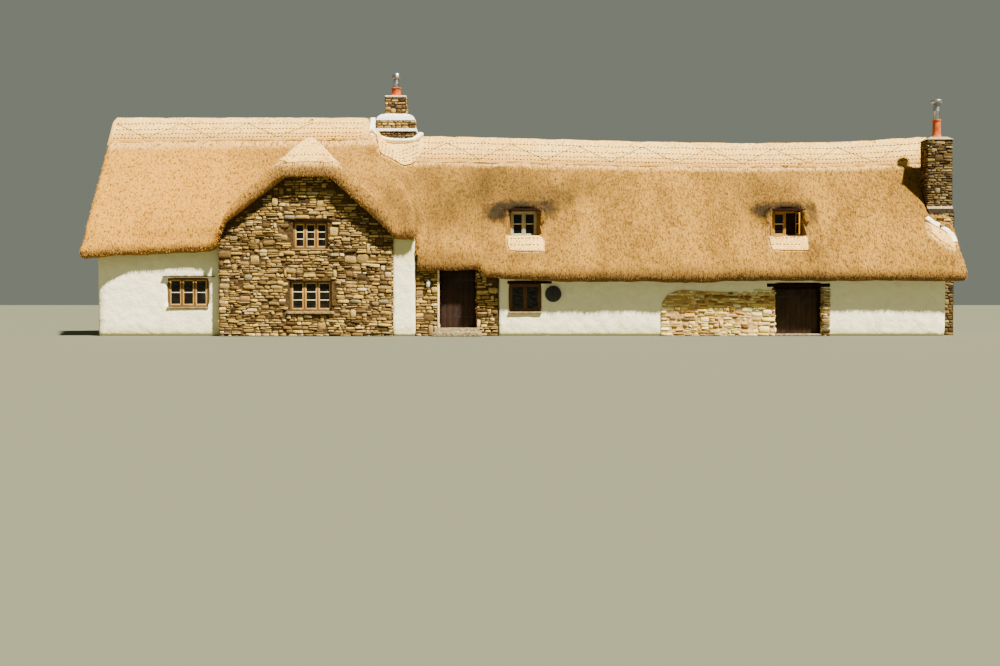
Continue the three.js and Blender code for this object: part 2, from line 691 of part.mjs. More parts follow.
function addFloors() {
  const west = WEST_FACE + WALL + GAP;
  const east = EAST_FACE - WALL - GAP;
  const front = WALL + GAP;
  const back = DEPTH - WALL - GAP;
  const wingFront = WING_INNER_Y + GAP;
  const stack = centralStack();
  const hole = stackBase(GAP).translate(0, 0, -10);
  const plan = (end) => shapeOf([
    [west, front],
    [WING_WEST + GAP, front],
    [WING_WEST + GAP, wingFront],
    [WING_EAST - GAP, wingFront],
    [WING_EAST - GAP, front],
    [end, front],
    [end, back],
    [west, back],
  ]);
  add('ground_floor', raisePlan(plan(FLOOR_CHANGE_X), 0, HOUSE_FLOOR_Z).subtract(hole), FINISH.slate);
  const shippon = block(FLOOR_CHANGE_X + GAP, east, front, back, 0, SHIPPON_FLOOR_Z).subtract(endStack(GAP));
  add('shippon_floor', shippon, FINISH.slate);
  const upper = raisePlan(plan(east), UPPER_FLOOR_FOOT, UPPER_FLOOR_TOP).subtract(hole).subtract(endStack(GAP));
  add('upper_floor', upper, FINISH.boards);
  add('central_stack', stack, FINISH.rubble);
}

function addRoof() {
  const filled = filledRoof(0).add(filledWing(0));
  const hollow = spaceUnderRoof(THATCH_DROP).add(spaceUnderWing(0));
  const stackCut = stackBase(GAP);
  const rearTurn = (solid) => solid.rotate([0, 0, 180]).translate(0, DEPTH, 0);
  let thatch = filled.subtract(hollow).subtract(stackCut).subtract(endStack(GAP));
  for (const centre of DORMERS) {
    thatch = thatch.subtract(dormerCut().translate(centre, 0, 0));
    thatch = thatch.subtract(rearTurn(dormerCut()).translate(centre, 0, 0));
  }
  const cell = (x0, x1, y0, y1) =>
    thatch.intersect(block(x0 + GAP / 2, x1 - GAP / 2, y0 + GAP / 2, y1 - GAP / 2, 0, WALL_HEIGHT));
  const farWest = THATCH_WEST - 500;
  const farEast = THATCH_EAST + 500;
  const front = -2000;
  const back = DEPTH + 2000;
  add('thatch_front_west', cell(farWest, WEST_WING_SEAM, front, RIDGE_Y), FINISH.thatch);
  add('thatch_wing_west', cell(WEST_WING_SEAM, WING_X, front, RIDGE_Y), FINISH.thatch);
  add('thatch_wing_east', cell(WING_X, WING_CENTRE_SEAM, front, RIDGE_Y), FINISH.thatch);
  add('thatch_front_centre', cell(WING_CENTRE_SEAM, CENTRE_EAST_SEAM, front, RIDGE_Y), FINISH.thatch);
  add('thatch_front_east', cell(CENTRE_EAST_SEAM, farEast, front, RIDGE_Y), FINISH.thatch);
  add('thatch_rear_west', cell(farWest, REAR_THATCH_SEAM, RIDGE_Y, back), FINISH.thatch);
  add('thatch_rear_east', cell(REAR_THATCH_SEAM, farEast, RIDGE_Y, back), FINISH.thatch);

  const layer = filledRoof(CAP_RISE).subtract(filledRoof(GAP));
  const cap = (x0, x1) => layer
    .intersect(block(x0, x1, RIDGE_Y - CAP_HALF_WIDTH, RIDGE_Y + CAP_HALF_WIDTH, 4000, WALL_HEIGHT))
    .subtract(stackCut)
    .subtract(endStack(GAP));
  add('ridge_cap_west', cap(farWest, WEST_CAP_END), FINISH.ridge);
  add('ridge_cap_east', cap(EAST_CAP_START, farEast), FINISH.ridge);
  const wingLayer = filledWing(60).subtract(filledWing(GAP)).subtract(filledRoof(GAP));
  const wingCap = wingLayer.intersect(block(WING_X - 850, WING_X + 850, -1500, RIDGE_Y, 5900, 9000));
  add('wing_cap', wingCap, FINISH.ridge);

  DORMERS.forEach((centre, entry) => {
    const material = entry === 0 ? FINISH.cream : FINISH.oak;
    add(`dormer_${entry + 1}`, dormer(centre, filled), material, [centre, 0, 0]);
    const rear = dormer(-centre, rearTurn(filled));
    add(`rear_dormer_${entry + 1}`, rear, material, [centre, DEPTH, 0], Math.PI);
  });
}

function addDoors() {
  add('front_door_frame', doorFrame(FRONT_DOOR), FINISH.beam);
  add('shippon_door_frame', doorFrame(SHIPPON_DOOR), FINISH.beam);
  const leafY = DOOR_FRAME_Y + DOOR_FRAME_DEPTH + LEAF_CLEARANCE + LEAF_THICKNESS;
  const frontHinge = [FRONT_DOOR.east - POST + STOP_LAP, leafY, FRONT_DOOR.sill + LEAF_FOOT_CLEARANCE];
  add('front_door', leaf(leafWidth(FRONT_DOOR), leafHeight(FRONT_DOOR), -1), FINISH.plank, frontHinge);
  const shipponHinge = [SHIPPON_DOOR.west + POST - STOP_LAP, leafY, SHIPPON_DOOR.sill + LEAF_FOOT_CLEARANCE];
  add('shippon_door', leaf(leafWidth(SHIPPON_DOOR), leafHeight(SHIPPON_DOOR), 1), FINISH.plank, shipponHinge);
  const sill = block(FRONT_DOOR.west + GAP, FRONT_DOOR.east - GAP, -10, WALL, 0, FRONT_DOOR.sill);
  const tread = (spec, back) => block(spec.west, spec.east, spec.front, back, 0, spec.top);
  const steps = [sill, tread(UPPER_TREAD, -GAP), tread(LOWER_TREAD, LOWER_TREAD.back)];
  add('doorstep', joined(steps), FINISH.slate);
  add('shippon_lintel', beam(SHIPPON_LINTEL, 0), FINISH.beam);
  const shipponSill = block(SHIPPON_DOOR.west + GAP, SHIPPON_DOOR.east - GAP, 0, WALL, 0, SHIPPON_DOOR.sill);
  add('shippon_sill', shipponSill, FINISH.slate);
  add('window_lintel', beam(WINDOW_LINTEL, 0), FINISH.beam);
}

function addChimneyTops() {
  const centreX = (STACK_WEST + STACK_EAST) / 2;
  const centreY = (STACK_FRONT_Y + STACK_BACK_Y) / 2;
  const potHeight = POT_TOP - SHAFT_TOP - GAP;
  const pot = turned([[0, 0], [195, 0], [200, 60], [175, 110], [165, potHeight - 70], [190, potHeight], [0, potHeight]]);
  add('central_pot', pot, FINISH.clay, [centreX, centreY, SHAFT_TOP + GAP]);
  const tube = LINER_TOP - POT_TOP - GAP;
  const top = COWL_TOP - POT_TOP - GAP;
  const cowl = turned([[0, 0], [120, 0], [120, tube], [165, tube + 30], [150, top - 70], [80, top - 15], [0, top]]);
  add('central_cowl', cowl, FINISH.steel, [centreX, centreY, POT_TOP + GAP]);

  const endX = (END_STACK.west + END_STACK.east) / 2;
  const endY = (END_SHAFT.front + END_SHAFT.back) / 2;
  const endHeight = END_POT_TOP - END_SLAB_TOP - GAP;
  const endPot = turned([[0, 0], [190, 0], [145, 90], [135, endHeight - 60], [155, endHeight], [0, endHeight]]);
  add('end_pot', endPot, FINISH.clay, [endX, endY, END_SLAB_TOP + GAP]);
  const liner = END_LINER_TOP - END_POT_TOP - GAP;
  const endTop = END_COWL_TOP - END_POT_TOP - GAP;
  const endCowl = turned([[0, 0], [118, 0], [118, liner], [205, liner + 20], [190, endTop - 50], [0, endTop]]);
  add('end_cowl', endCowl, FINISH.steel, [endX, endY, END_POT_TOP + GAP]);
  add('end_stack', endStack(0).add(endSlab()), FINISH.rubble);
}

function addFittings() {
  const body = turned([[0, 0], [50, 20], [70, 120], [60, 220], [20, 290], [0, 300]], 12);
  const arm = block(-15, 15, 0, 130, 200, 230);
  add('lantern', body.add(arm), FINISH.iron, LANTERN_AT);
  const disc = new THREE.CylinderGeometry(DISC_RADIUS, DISC_RADIUS, DISC_THICKNESS, 28);
  disc.translate(0, DISC_THICKNESS / 2, 0);
  const plate = solidFrom(disc);
  const post = block(-25, 25, 20, -DISC_AT[1] - GAP, -25, 25);
  add('wall_disc', plate.add(post), FINISH.iron, DISC_AT);
}

addWalls();
addFloors();
addRoof();
addDoors();
for (const [name, spec] of Object.entries({ ...WINDOWS, ...REAR_WINDOWS })) addWindow(name, spec);
addChimneyTops();
addFittings();

// Origin at the centre of the base.
const box = new THREE.Box3().setFromObject(house);
house.position.set(-(box.min.x + box.max.x) / 2, -(box.min.y + box.max.y) / 2, -box.min.z);

export default house;
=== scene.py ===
import json
import logging
import math
import random
from contextlib import contextmanager
from dataclasses import dataclass
from enum import Enum
from typing import Callable, Iterable, Iterator, Sequence

import bpy
import numpy as np
from mathutils import Matrix, Quaternion, Vector
from mathutils.bvhtree import BVHTree

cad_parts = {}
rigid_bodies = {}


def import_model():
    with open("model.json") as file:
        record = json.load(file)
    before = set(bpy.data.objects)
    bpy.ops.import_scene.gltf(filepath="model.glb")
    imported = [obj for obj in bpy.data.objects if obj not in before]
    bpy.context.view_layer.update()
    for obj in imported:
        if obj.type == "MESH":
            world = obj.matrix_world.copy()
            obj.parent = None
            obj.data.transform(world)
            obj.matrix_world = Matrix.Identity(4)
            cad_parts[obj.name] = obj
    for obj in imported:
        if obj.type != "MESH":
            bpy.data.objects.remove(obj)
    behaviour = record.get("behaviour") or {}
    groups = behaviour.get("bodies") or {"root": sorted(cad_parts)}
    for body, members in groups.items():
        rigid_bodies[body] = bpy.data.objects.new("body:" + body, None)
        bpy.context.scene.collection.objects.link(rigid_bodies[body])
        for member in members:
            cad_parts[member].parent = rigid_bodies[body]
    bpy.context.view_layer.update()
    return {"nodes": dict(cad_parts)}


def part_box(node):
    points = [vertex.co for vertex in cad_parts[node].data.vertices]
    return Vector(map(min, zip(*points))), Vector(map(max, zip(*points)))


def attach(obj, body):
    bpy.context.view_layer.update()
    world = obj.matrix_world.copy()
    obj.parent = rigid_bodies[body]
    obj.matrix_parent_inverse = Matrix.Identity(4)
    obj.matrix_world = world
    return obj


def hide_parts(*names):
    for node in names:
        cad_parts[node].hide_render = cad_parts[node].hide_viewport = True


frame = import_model()

LOG = logging.getLogger("cottage")
HOUSE = "house"

# Places in the house's own measures
RIDGE_Y = 3.3
ABOVE_ROOF = 12.0
FRONT_WALL_START = -13.35

# How far the cuts of a grid lie before its even steps, as a share of a step
CUT_SHIFT = 0.37

# Types that come back often
Object = bpy.types.Object
Material = bpy.types.Material
Pair = tuple[float, float]
Triple = tuple[float, float, float]
Pairs = tuple[Pair, ...]
Box = tuple[Sequence[float], Sequence[float]]
Colour = tuple[float, float, float, float]


class Slot(Enum):
    """The record's material slots."""

    LIMEWASH = "limewash"
    RUBBLE = "rubble"
    THATCH = "thatch"
    RIDGE = "ridge_straw"
    OAK = "oak"
    CREAM = "cream_frame"
    BROWN = "brown_frame"
    PLANK = "dark_plank"
    BEAM = "black_beam"
    SLATE = "slate_floor"
    BOARDS = "floor_boards"
    CLAY = "terracotta"
    STEEL = "stainless"
    IRON = "black_iron"


def house_origin() -> Vector:
    """The point of the frame where the front wall's outer face meets the ground, below the house's own zero.

    Returns:
        The origin of the house's own measures, in which x is 0 at the middle of the photograph.
    """
    low, _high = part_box("front_wall_west")
    return Vector((low[0] - FRONT_WALL_START, low[1], 0.0))


ORIGIN = house_origin()


def at(x: float, y: float, z: float) -> Vector:
    """A place in the house's own measures, as a place in the frame."""
    return ORIGIN + Vector((x, y, z))


def srgb(red: int, green: int, blue: int) -> Colour:
    """Turns a colour as it looks on a screen into linear light.

    Args:
        red: The red, from 0 to 255.
        green: The green.
        blue: The blue.

    Returns:
        The colour, with an alpha of 1.
    """
    def channel(level: int) -> float:
        """One channel in linear light."""
        share = level / 255
        return share / 12.92 if share <= 0.04045 else ((share + 0.055) / 1.055) ** 2.4

    return (channel(red), channel(green), channel(blue), 1.0)


# Modelling helpers


def deselect() -> None:
    """Leaves edit mode's selection and every object unselected."""
    if bpy.context.object and bpy.context.object.mode != "OBJECT":
        bpy.ops.object.mode_set(mode="OBJECT")
    bpy.ops.object.select_all(action="DESELECT")


def activate(obj: Object) -> None:
    """Makes one object the only selected and active one.

    Args:
        obj: The object.
    """
    deselect()
    obj.select_set(True)
    bpy.context.view_layer.objects.active = obj


@contextmanager
def editing(obj: Object) -> Iterator[None]:
    """Edit mode on one object, with all of its mesh selected at the start.

    Args:
        obj: The object.

    Yields:
        Nothing, once, while the mesh can be edited.
    """
    activate(obj)
    bpy.ops.object.mode_set(mode="EDIT")
    bpy.ops.mesh.select_all(action="SELECT")
    yield
    bpy.ops.object.mode_set(mode="OBJECT")


def shade(degrees: float) -> None:
    """Shades the active object smooth, apart from edges that are sharper than an angle."""
    bpy.ops.object.shade_smooth_by_angle(angle=math.radians(degrees))


def settle(obj: Object) -> None:
    """Moves an object's place, turn and scale into its mesh."""
    activate(obj)
    bpy.ops.object.transform_apply(location=True, rotation=True, scale=True)


def modify(obj: Object, kind: str, **settings: object) -> None:
    """Adds a modifier, sets it and applies it.

    Args:
        obj: The object that is changed.
        kind: The modifier's type.
        settings: The modifier's own settings.
    """
    activate(obj)
    bpy.ops.object.modifier_add(type=kind)
    modifier = obj.modifiers[-1]
    for key, value in settings.items():
        setattr(modifier, key, value)
    bpy.ops.object.modifier_apply(modifier=modifier.name)


def ease(obj: Object, width: float, segments: int = 2, degrees: float = 30) -> None:
    """Bevels the edges of a mesh that are sharper than an angle.

    Args:
        obj: The mesh.
        width: The bevel's width.
        segments: How many faces it has.
        degrees: The angle.
    """
    limit = math.radians(degrees)
    modify(obj, "BEVEL", width=width, segments=segments, limit_method="ANGLE", angle_limit=limit)


def melt(obj: Object, voxel: float, rounds: int) -> None:
    """Turns a mesh into one closed skin of small even faces, with rounded edges.

    Args:
        obj: The mesh.
        voxel: The size of the faces.
        rounds: How often the skin is smoothed.
    """
    modify(obj, "REMESH", mode="VOXEL", voxel_size=voxel, use_smooth_shade=True)
    modify(obj, "SMOOTH", factor=0.5, iterations=rounds)


def join(objects: Sequence[Object], name: str) -> Object:
    """Joins objects into one.

    Args:
        objects: The objects, which are used up.
        name: The name of the joined object.

    Returns:
        The joined object.
    """
    deselect()
    for obj in objects:
        obj.select_set(True)
    bpy.context.view_layer.objects.active = objects[0]
    if len(objects) > 1:
        bpy.ops.object.join()
    whole = bpy.context.view_layer.objects.active
    whole.name = name
    return whole


def block(low: Sequence[float], high: Sequence[float]) -> Object:
    """A block between two corners of the house's own measures.

    Args:
        low: The lowest x, y and z.
        high: The highest x, y and z.

    Returns:
        The block, settled at the frame's origin.
    """
    deselect()
    start, end = at(*low), at(*high)
    bpy.ops.mesh.primitive_cube_add(size=1, location=(start + end) / 2, scale=end - start)
    piece = bpy.context.object
    settle(piece)
    return piece


def copy_nodes(nodes: Iterable[str], name: str) -> Object:
    """Copies CAD nodes into one new object with merged vertices.

    Args:
        nodes: The nodes' names.
        name: The new object's name.

    Returns:
        The new object.
    """
    copies = [copy_object(frame["nodes"][node]) for node in nodes]
    for piece in copies:
        piece.data.materials.clear()
    whole = join(copies, name)
    with editing(whole):
        bpy.ops.mesh.remove_doubles(threshold=0.00005)
    return whole


def new_object(name: str, data: bpy.types.ID) -> Object:
    """A new object of the scene, made from a mesh or a curve.

    Args:
        name: Its name.
        data: Its mesh or its curve.

    Returns:
        The object.
    """
    piece = bpy.data.objects.new(name, data)
    bpy.context.scene.collection.objects.link(piece)
    return piece


def copy_object(source: Object) -> Object:
    """A copy of an object with its own mesh."""
    return new_object(source.name + "_copy", source.data.copy())


def turned(centre: Vector, profile: Sequence[Pair], sides: int = 24) -> Object:
    """A round piece raised from a disc by extruding and scaling its rim.

    Args:
        centre: The middle of its foot.
        profile: Radius and height pairs, from the foot up, which may turn back down inside the mouth.
        sides: The number of its sides.

    Returns:
        The piece, closed at the foot and at the end of the profile.
    """
    deselect()
    radius, height = profile[0]
    place = centre + Vector((0, 0, height))
    bpy.ops.mesh.primitive_circle_add(vertices=sides, radius=radius, fill_type="NGON", location=place)
    piece = bpy.context.object
    with editing(piece):
        for next_radius, next_height in profile[1:]:
            step = (0, 0, next_height - height)
            bpy.ops.mesh.extrude_region_move(TRANSFORM_OT_translate={"value": step})
            ratio = next_radius / radius
            bpy.ops.transform.resize(value=(ratio, ratio, 1))
            radius, height = next_radius, next_height
        bpy.ops.mesh.select_all(action="SELECT")
        bpy.ops.mesh.normals_make_consistent(inside=False)
    settle(piece)
    shade(40)
    return piece


def rods(paths: Sequence[Sequence[Vector]], radius: float, name: str) -> Object:
    """Thin rods along paths, as one mesh.

    Args:
        paths: The points that each rod follows.
        radius: The rods' radius.
        name: The piece's name.

    Returns:
        The mesh of all the rods.
    """
    curve = bpy.data.curves.new(name, "CURVE")
    curve.dimensions = "3D"
    curve.bevel_depth = radius
    curve.bevel_resolution = 0
    curve.use_fill_caps = True
    for path in paths:
        spline = curve.splines.new("POLY")
        spline.points.add(len(path) - 1)
        for point, place in zip(spline.points, path):
            point.co = (*place, 1.0)
    activate(new_object(name, curve))
    bpy.ops.object.convert(target="MESH")
    return bpy.context.object


def tree_of(obj: Object) -> BVHTree:
    """A search tree of an object's faces, for finding points on its surface.

    Args:
        obj: The object.

    Returns:
        The tree.
    """
    mesh = obj.data
    points = [vertex.co for vertex in mesh.vertices]
    faces = [tuple(polygon.vertices) for polygon in mesh.polygons]
    return BVHTree.FromPolygons(points, faces)


class Scatter:
    """Many copies of a few small modelled pieces, as one mesh."""

    def __init__(self) -> None:
        """Starts with no copies."""
        self.places: list[Vector] = []
        self.turns: list[Triple] = []
        self.sizes: list[Triple] = []
        self.kinds: list[int] = []
        self.tones: list[float] = []

    def add(self, place: Vector, turn: Quaternion, size: Triple, kind: int, tone: float) -> None:
        """Adds one copy.

        Args:
            place: Its middle.
            turn: How it is turned.
            size: Its size on each of its own axes.
            kind: The number of its prototype.
            tone: A number from 0 to 1 that its material reads.
        """
        self.places.append(place)
        self.turns.append(tuple(turn.to_euler()))
        self.sizes.append(size)
        self.kinds.append(kind)
        self.tones.append(tone)

    def _points(self, name: str) -> Object:
        """A mesh of bare points that carries every copy's place, turn, size, prototype and tone.

        Args:
            name: The mesh's name.

        Returns:
            The mesh.
        """
        mesh = bpy.data.meshes.new(name)
        mesh.from_pydata(self.places, [], [])
        lists = (
            ("turn", "FLOAT_VECTOR", "vector", self.turns),
            ("size", "FLOAT_VECTOR", "vector", self.sizes),
            ("kind", "INT", "value", self.kinds),
            ("tone", "FLOAT", "value", self.tones),
        )
        for label, kind, field, values in lists:
            attribute = mesh.attributes.new(label, kind, "POINT")
            attribute.data.foreach_set(field, np.array(values).ravel())
        return new_object(name, mesh)

    def build(self, prototypes: Sequence[Object], name: str) -> Object:
        """Copies the prototypes to their places.

        Args:
            prototypes: The small pieces, each about its own origin, which are used up.
            name: The new object's name.

        Returns:
            The joined mesh, in which tone is an attribute.
        """
        shelf = bpy.data.collections.new(name + "_prototypes")
        bpy.context.scene.collection.children.link(shelf)
        for number, prototype in enumerate(prototypes):
            prototype.name = f"{name}_{number:02d}"
            bpy.context.scene.collection.objects.unlink(prototype)
            shelf.objects.link(prototype)
        tree = bpy.data.node_groups.new(name, "GeometryNodeTree")
        tree.interface.new_socket("Geometry", in_out="INPUT", socket_type="NodeSocketGeometry")
        tree.interface.new_socket("Geometry", in_out="OUTPUT", socket_type="NodeSocketGeometry")
        start = tree.nodes.new("NodeGroupInput")
        end = tree.nodes.new("NodeGroupOutput")
        source = tree.nodes.new("GeometryNodeCollectionInfo")
        source.inputs["Collection"].default_value = shelf
        source.inputs["Separate Children"].default_value = True
        source.inputs["Reset Children"].default_value = True
        copies = tree.nodes.new("GeometryNodeInstanceOnPoints")
        copies.inputs["Pick Instance"].default_value = True
        real = tree.nodes.new("GeometryNodeRealizeInstances")
        tree.links.new(start.outputs[0], copies.inputs["Points"])
        tree.links.new(source.outputs[0], copies.inputs["Instance"])
        for label, kind, socket in (
            ("kind", "INT", "Instance Index"),
            ("turn", "FLOAT_VECTOR", "Rotation"),
            ("size", "FLOAT_VECTOR", "Scale"),
        ):
            reader = tree.nodes.new("GeometryNodeInputNamedAttribute")
            reader.data_type = kind
            reader.inputs["Name"].default_value = label
            tree.links.new(reader.outputs["Attribute"], copies.inputs[socket])
        tree.links.new(copies.outputs[0], real.inputs[0])
        tree.links.new(real.outputs[0], end.inputs[0])
        piece = self._points(name)
        activate(piece)
        modifier = piece.modifiers.new("copies", "NODES")
        modifier.node_group = tree
        bpy.ops.object.modifier_apply(modifier=modifier.name)
        drop(list(shelf.objects))
        bpy.data.collections.remove(shelf)
        return piece


def drop(objects: Iterable[Object]) -> None:
    """Deletes helper objects."""
    for obj in objects:
        bpy.data.objects.remove(obj, do_unlink=True)


def dress(
    piece: Object,
    name: str,
    material: Material,
    body: str = HOUSE,
    replaced: Sequence[str] = (),
) -> Object:
    """Names a finished piece, gives it its material and fixes it to its body.

    Args:
        piece: The finished piece.
        name: Its name.
        material: Its material.
        body: The CAD body that it moves with.
        replaced: The CAD nodes that it stands for.

    Returns:
        The same piece.
    """
    piece.name = name
    piece.data.name = name
    piece.data.materials.clear()
    piece.data.materials.append(material)
    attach(piece, body)
    if replaced:
        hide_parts(*replaced)
    LOG.info("%s: %d faces", name, len(piece.data.polygons))
    return piece


# Shader helpers


class Value:
    """A socket of a shader that adds and multiplies like a number."""

    def __init__(self, shader: "Shader", socket: bpy.types.NodeSocket) -> None:
        """Keeps the shader and its socket."""
        self.shader = shader
        self.socket = socket

    def _sum(self, operation: str, first: object, second: object) -> "Value":
        """Adds one Math node."""
        return self.shader.node("ShaderNodeMath", {"operation": operation}, {0: first, 1: second})

    def __add__(self, other: object) -> "Value":
        """This value plus another."""
        return self._sum("ADD", self, other)

    def __radd__(self, other: object) -> "Value":
        """Another value plus this one."""
        return self._sum("ADD", other, self)

    def __sub__(self, other: object) -> "Value":
        """This value less another."""
        return self._sum("SUBTRACT", self, other)

    def __rsub__(self, other: object) -> "Value":
        """Another value less this one."""
        return self._sum("SUBTRACT", other, self)

    def __mul__(self, other: object) -> "Value":
        """This value times another."""
        return self._sum("MULTIPLY", self, other)

    def __rmul__(self, other: object) -> "Value":
        """Another value times this one."""
        return self._sum("MULTIPLY", other, self)

    def larger(self, other: object) -> "Value":
        """The larger of two values."""
        return self._sum("MAXIMUM", self, other)

    def rise(self, low: float, high: float) -> "Value":
        """0 below a low value, 1 above a high one, and a smooth rise between them."""
        inputs = {"Value": self, "From Min": low, "From Max": high, "To Min": 0.0, "To Max": 1.0}
        return self.shader.node("ShaderNodeMapRange", {"interpolation_type": "SMOOTHSTEP"}, inputs)


class Shader:
    """Builds one material from nodes."""

    def __init__(self, name: str) -> None:
        """Starts an empty material.

        Args:
            name: The material's name.
        """
        self.material = bpy.data.materials.new(name)
        self.material.use_nodes = True
        self.tree = self.material.node_tree
        self.tree.nodes.clear()

    def node(
        self,
        kind: str,
        settings: dict[str, object] | None = None,
        inputs: dict[object, object] | None = None,
        output: int | str = 0,
    ) -> Value:
        """Adds a node.

        Args:
            kind: The node's type.
            settings: What the node itself is set to.
            inputs: A value or a link for each named or numbered socket.
            output: The output that is returned.

        Returns:
            The chosen output.
        """
        node = self.tree.nodes.new(kind)
        for key, setting in (settings or {}).items():
            setattr(node, key, setting)
        for key, value in (inputs or {}).items():
            if isinstance(value, Value):
                self.tree.links.new(value.socket, node.inputs[key])
            else:
                node.inputs[key].default_value = value
        return Value(self, node.outputs[output])

    def place(self) -> Value:
        """Where a point lies on the object, in metres."""
        return self.node("ShaderNodeTexCoord", output="Object")

    def attribute(self, name: str) -> Value:
        """A number that the mesh carries at each point."""
        return self.node("ShaderNodeAttribute", {"attribute_name": name}, output="Fac")

    def facing(self, axis: str) -> Value:
        """How far the surface faces along X, Y or Z."""
        return self.axis(self.node("ShaderNodeTexCoord", output="Normal"), axis)

    def stretched(self, place: Value, scale: Triple) -> Value:
        """Coordinates multiplied by a scale on each axis."""
        return self.node("ShaderNodeVectorMath", {"operation": "MULTIPLY"}, {0: place, 1: scale})

    def axis(self, vector: Value, name: str) -> Value:
        """One part of a vector: X, Y or Z."""
        return self.node("ShaderNodeSeparateXYZ", inputs={0: vector}, output=name)

    def noise(self, place: Value, scale: float, detail: float = 2.0, rough: float = 0.5) -> Value:
        """Soft noise between about 0.2 and 0.8."""
        inputs = {"Vector": place, "Scale": scale, "Detail": detail, "Roughness": rough}
        return self.node("ShaderNodeTexNoise", {}, inputs, output="Fac")

    def mix(self, share: object, first: object, second: object) -> Value:
        """A colour between two colours."""
        return self.node("ShaderNodeMix", {"data_type": "RGBA"}, {0: share, 6: first, 7: second}, output=2)

    def ramp(self, share: Value, stops: Sequence[tuple[float, Colour]]) -> Value:
        """A colour from a row of colours.

        Args:
            share: Where along the row.
            stops: The places and colours of the row.

        Returns:
            The colour.
        """
        value = self.node("ShaderNodeValToRGB", {}, {0: share})
        row = value.socket.node.color_ramp.elements
        while len(row) < len(stops):
            row.new(0.5)
        for stop, (position, colour) in zip(row, stops):
            stop.position = position
            stop.color = colour
        return value

    def bump(self, height: Value, distance: float) -> Value:
        """A normal from a height."""
        return self.node("ShaderNodeBump", {}, {"Height": height, "Distance": distance, "Strength": 1.0})

    def near(self, place: Value, centre: Vector, reach: Triple) -> Value:
        """How far a point is from a centre, counted in reaches on each axis.

        Args:
            place: Where a point lies.
            centre: The centre.
            reach: The reach on each axis.

        Returns:
            The distance.
        """
        away = self.node("ShaderNodeVectorMath", {"operation": "SUBTRACT"}, {0: place, 1: centre[:]})
        scale = tuple(1 / size for size in reach)
        shared = self.stretched(away, scale)
        return self.node("ShaderNodeVectorMath", {"operation": "LENGTH"}, {0: shared}, output="Value")

    def surface(
        self,
        colour: object,
        roughness: object = 0.9,
        normal: Value | None = None,
        **constants: float,
    ) -> Material:
        """Ends the material in a Principled shader.

        Args:
            colour: The base colour or its link.
            roughness: The roughness or its link.
            normal: The bumped normal.
            constants: Other sockets' values, with _ for a space.

        Returns:
            The finished material.
        """
        inputs: dict[object, object] = {"Base Color": colour, "Roughness": roughness}
        if normal is not None:
            inputs["Normal"] = normal
        for key, value in constants.items():
            inputs[key.replace("_", " ")] = value
        shader = self.node("ShaderNodeBsdfPrincipled", {}, inputs)
        output = self.tree.nodes.new("ShaderNodeOutputMaterial")
        self.tree.links.new(shader.socket, output.inputs[0])
        return self.material


# Finishes


@dataclass(frozen=True)
class StrawPatch:
    """A patch of the straw in another colour, the same on both slopes: darker where the straw is mossy, and
    darker where shade is painted in round the dormers and in the valley; paler where it is newer.

    Attributes:
        centre: The x and z of its middle, in the house's own measures.
        reach: How far it reaches along x and z.
        depth: How strongly it shows at the middle, from 0 to 1.
        through: How far it reaches along y, which is through the whole house.
    """

    centre: Pair
    reach: Pair
    depth: float
    through: float = 60.0

    def away(self, shader: Shader, place: Value) -> Value:
        """How far a point is from the middle, counted in reaches."""
        (x, z), (wide, tall) = self.centre, self.reach
        return shader.near(place, at(x, RIDGE_Y, z), (wide, self.through, tall))

    def share(self, away: Value) -> Value:
        """How strongly the patch shows at a distance from its middle."""
        return (1 - away.rise(0.35, 1.1)) * self.depth


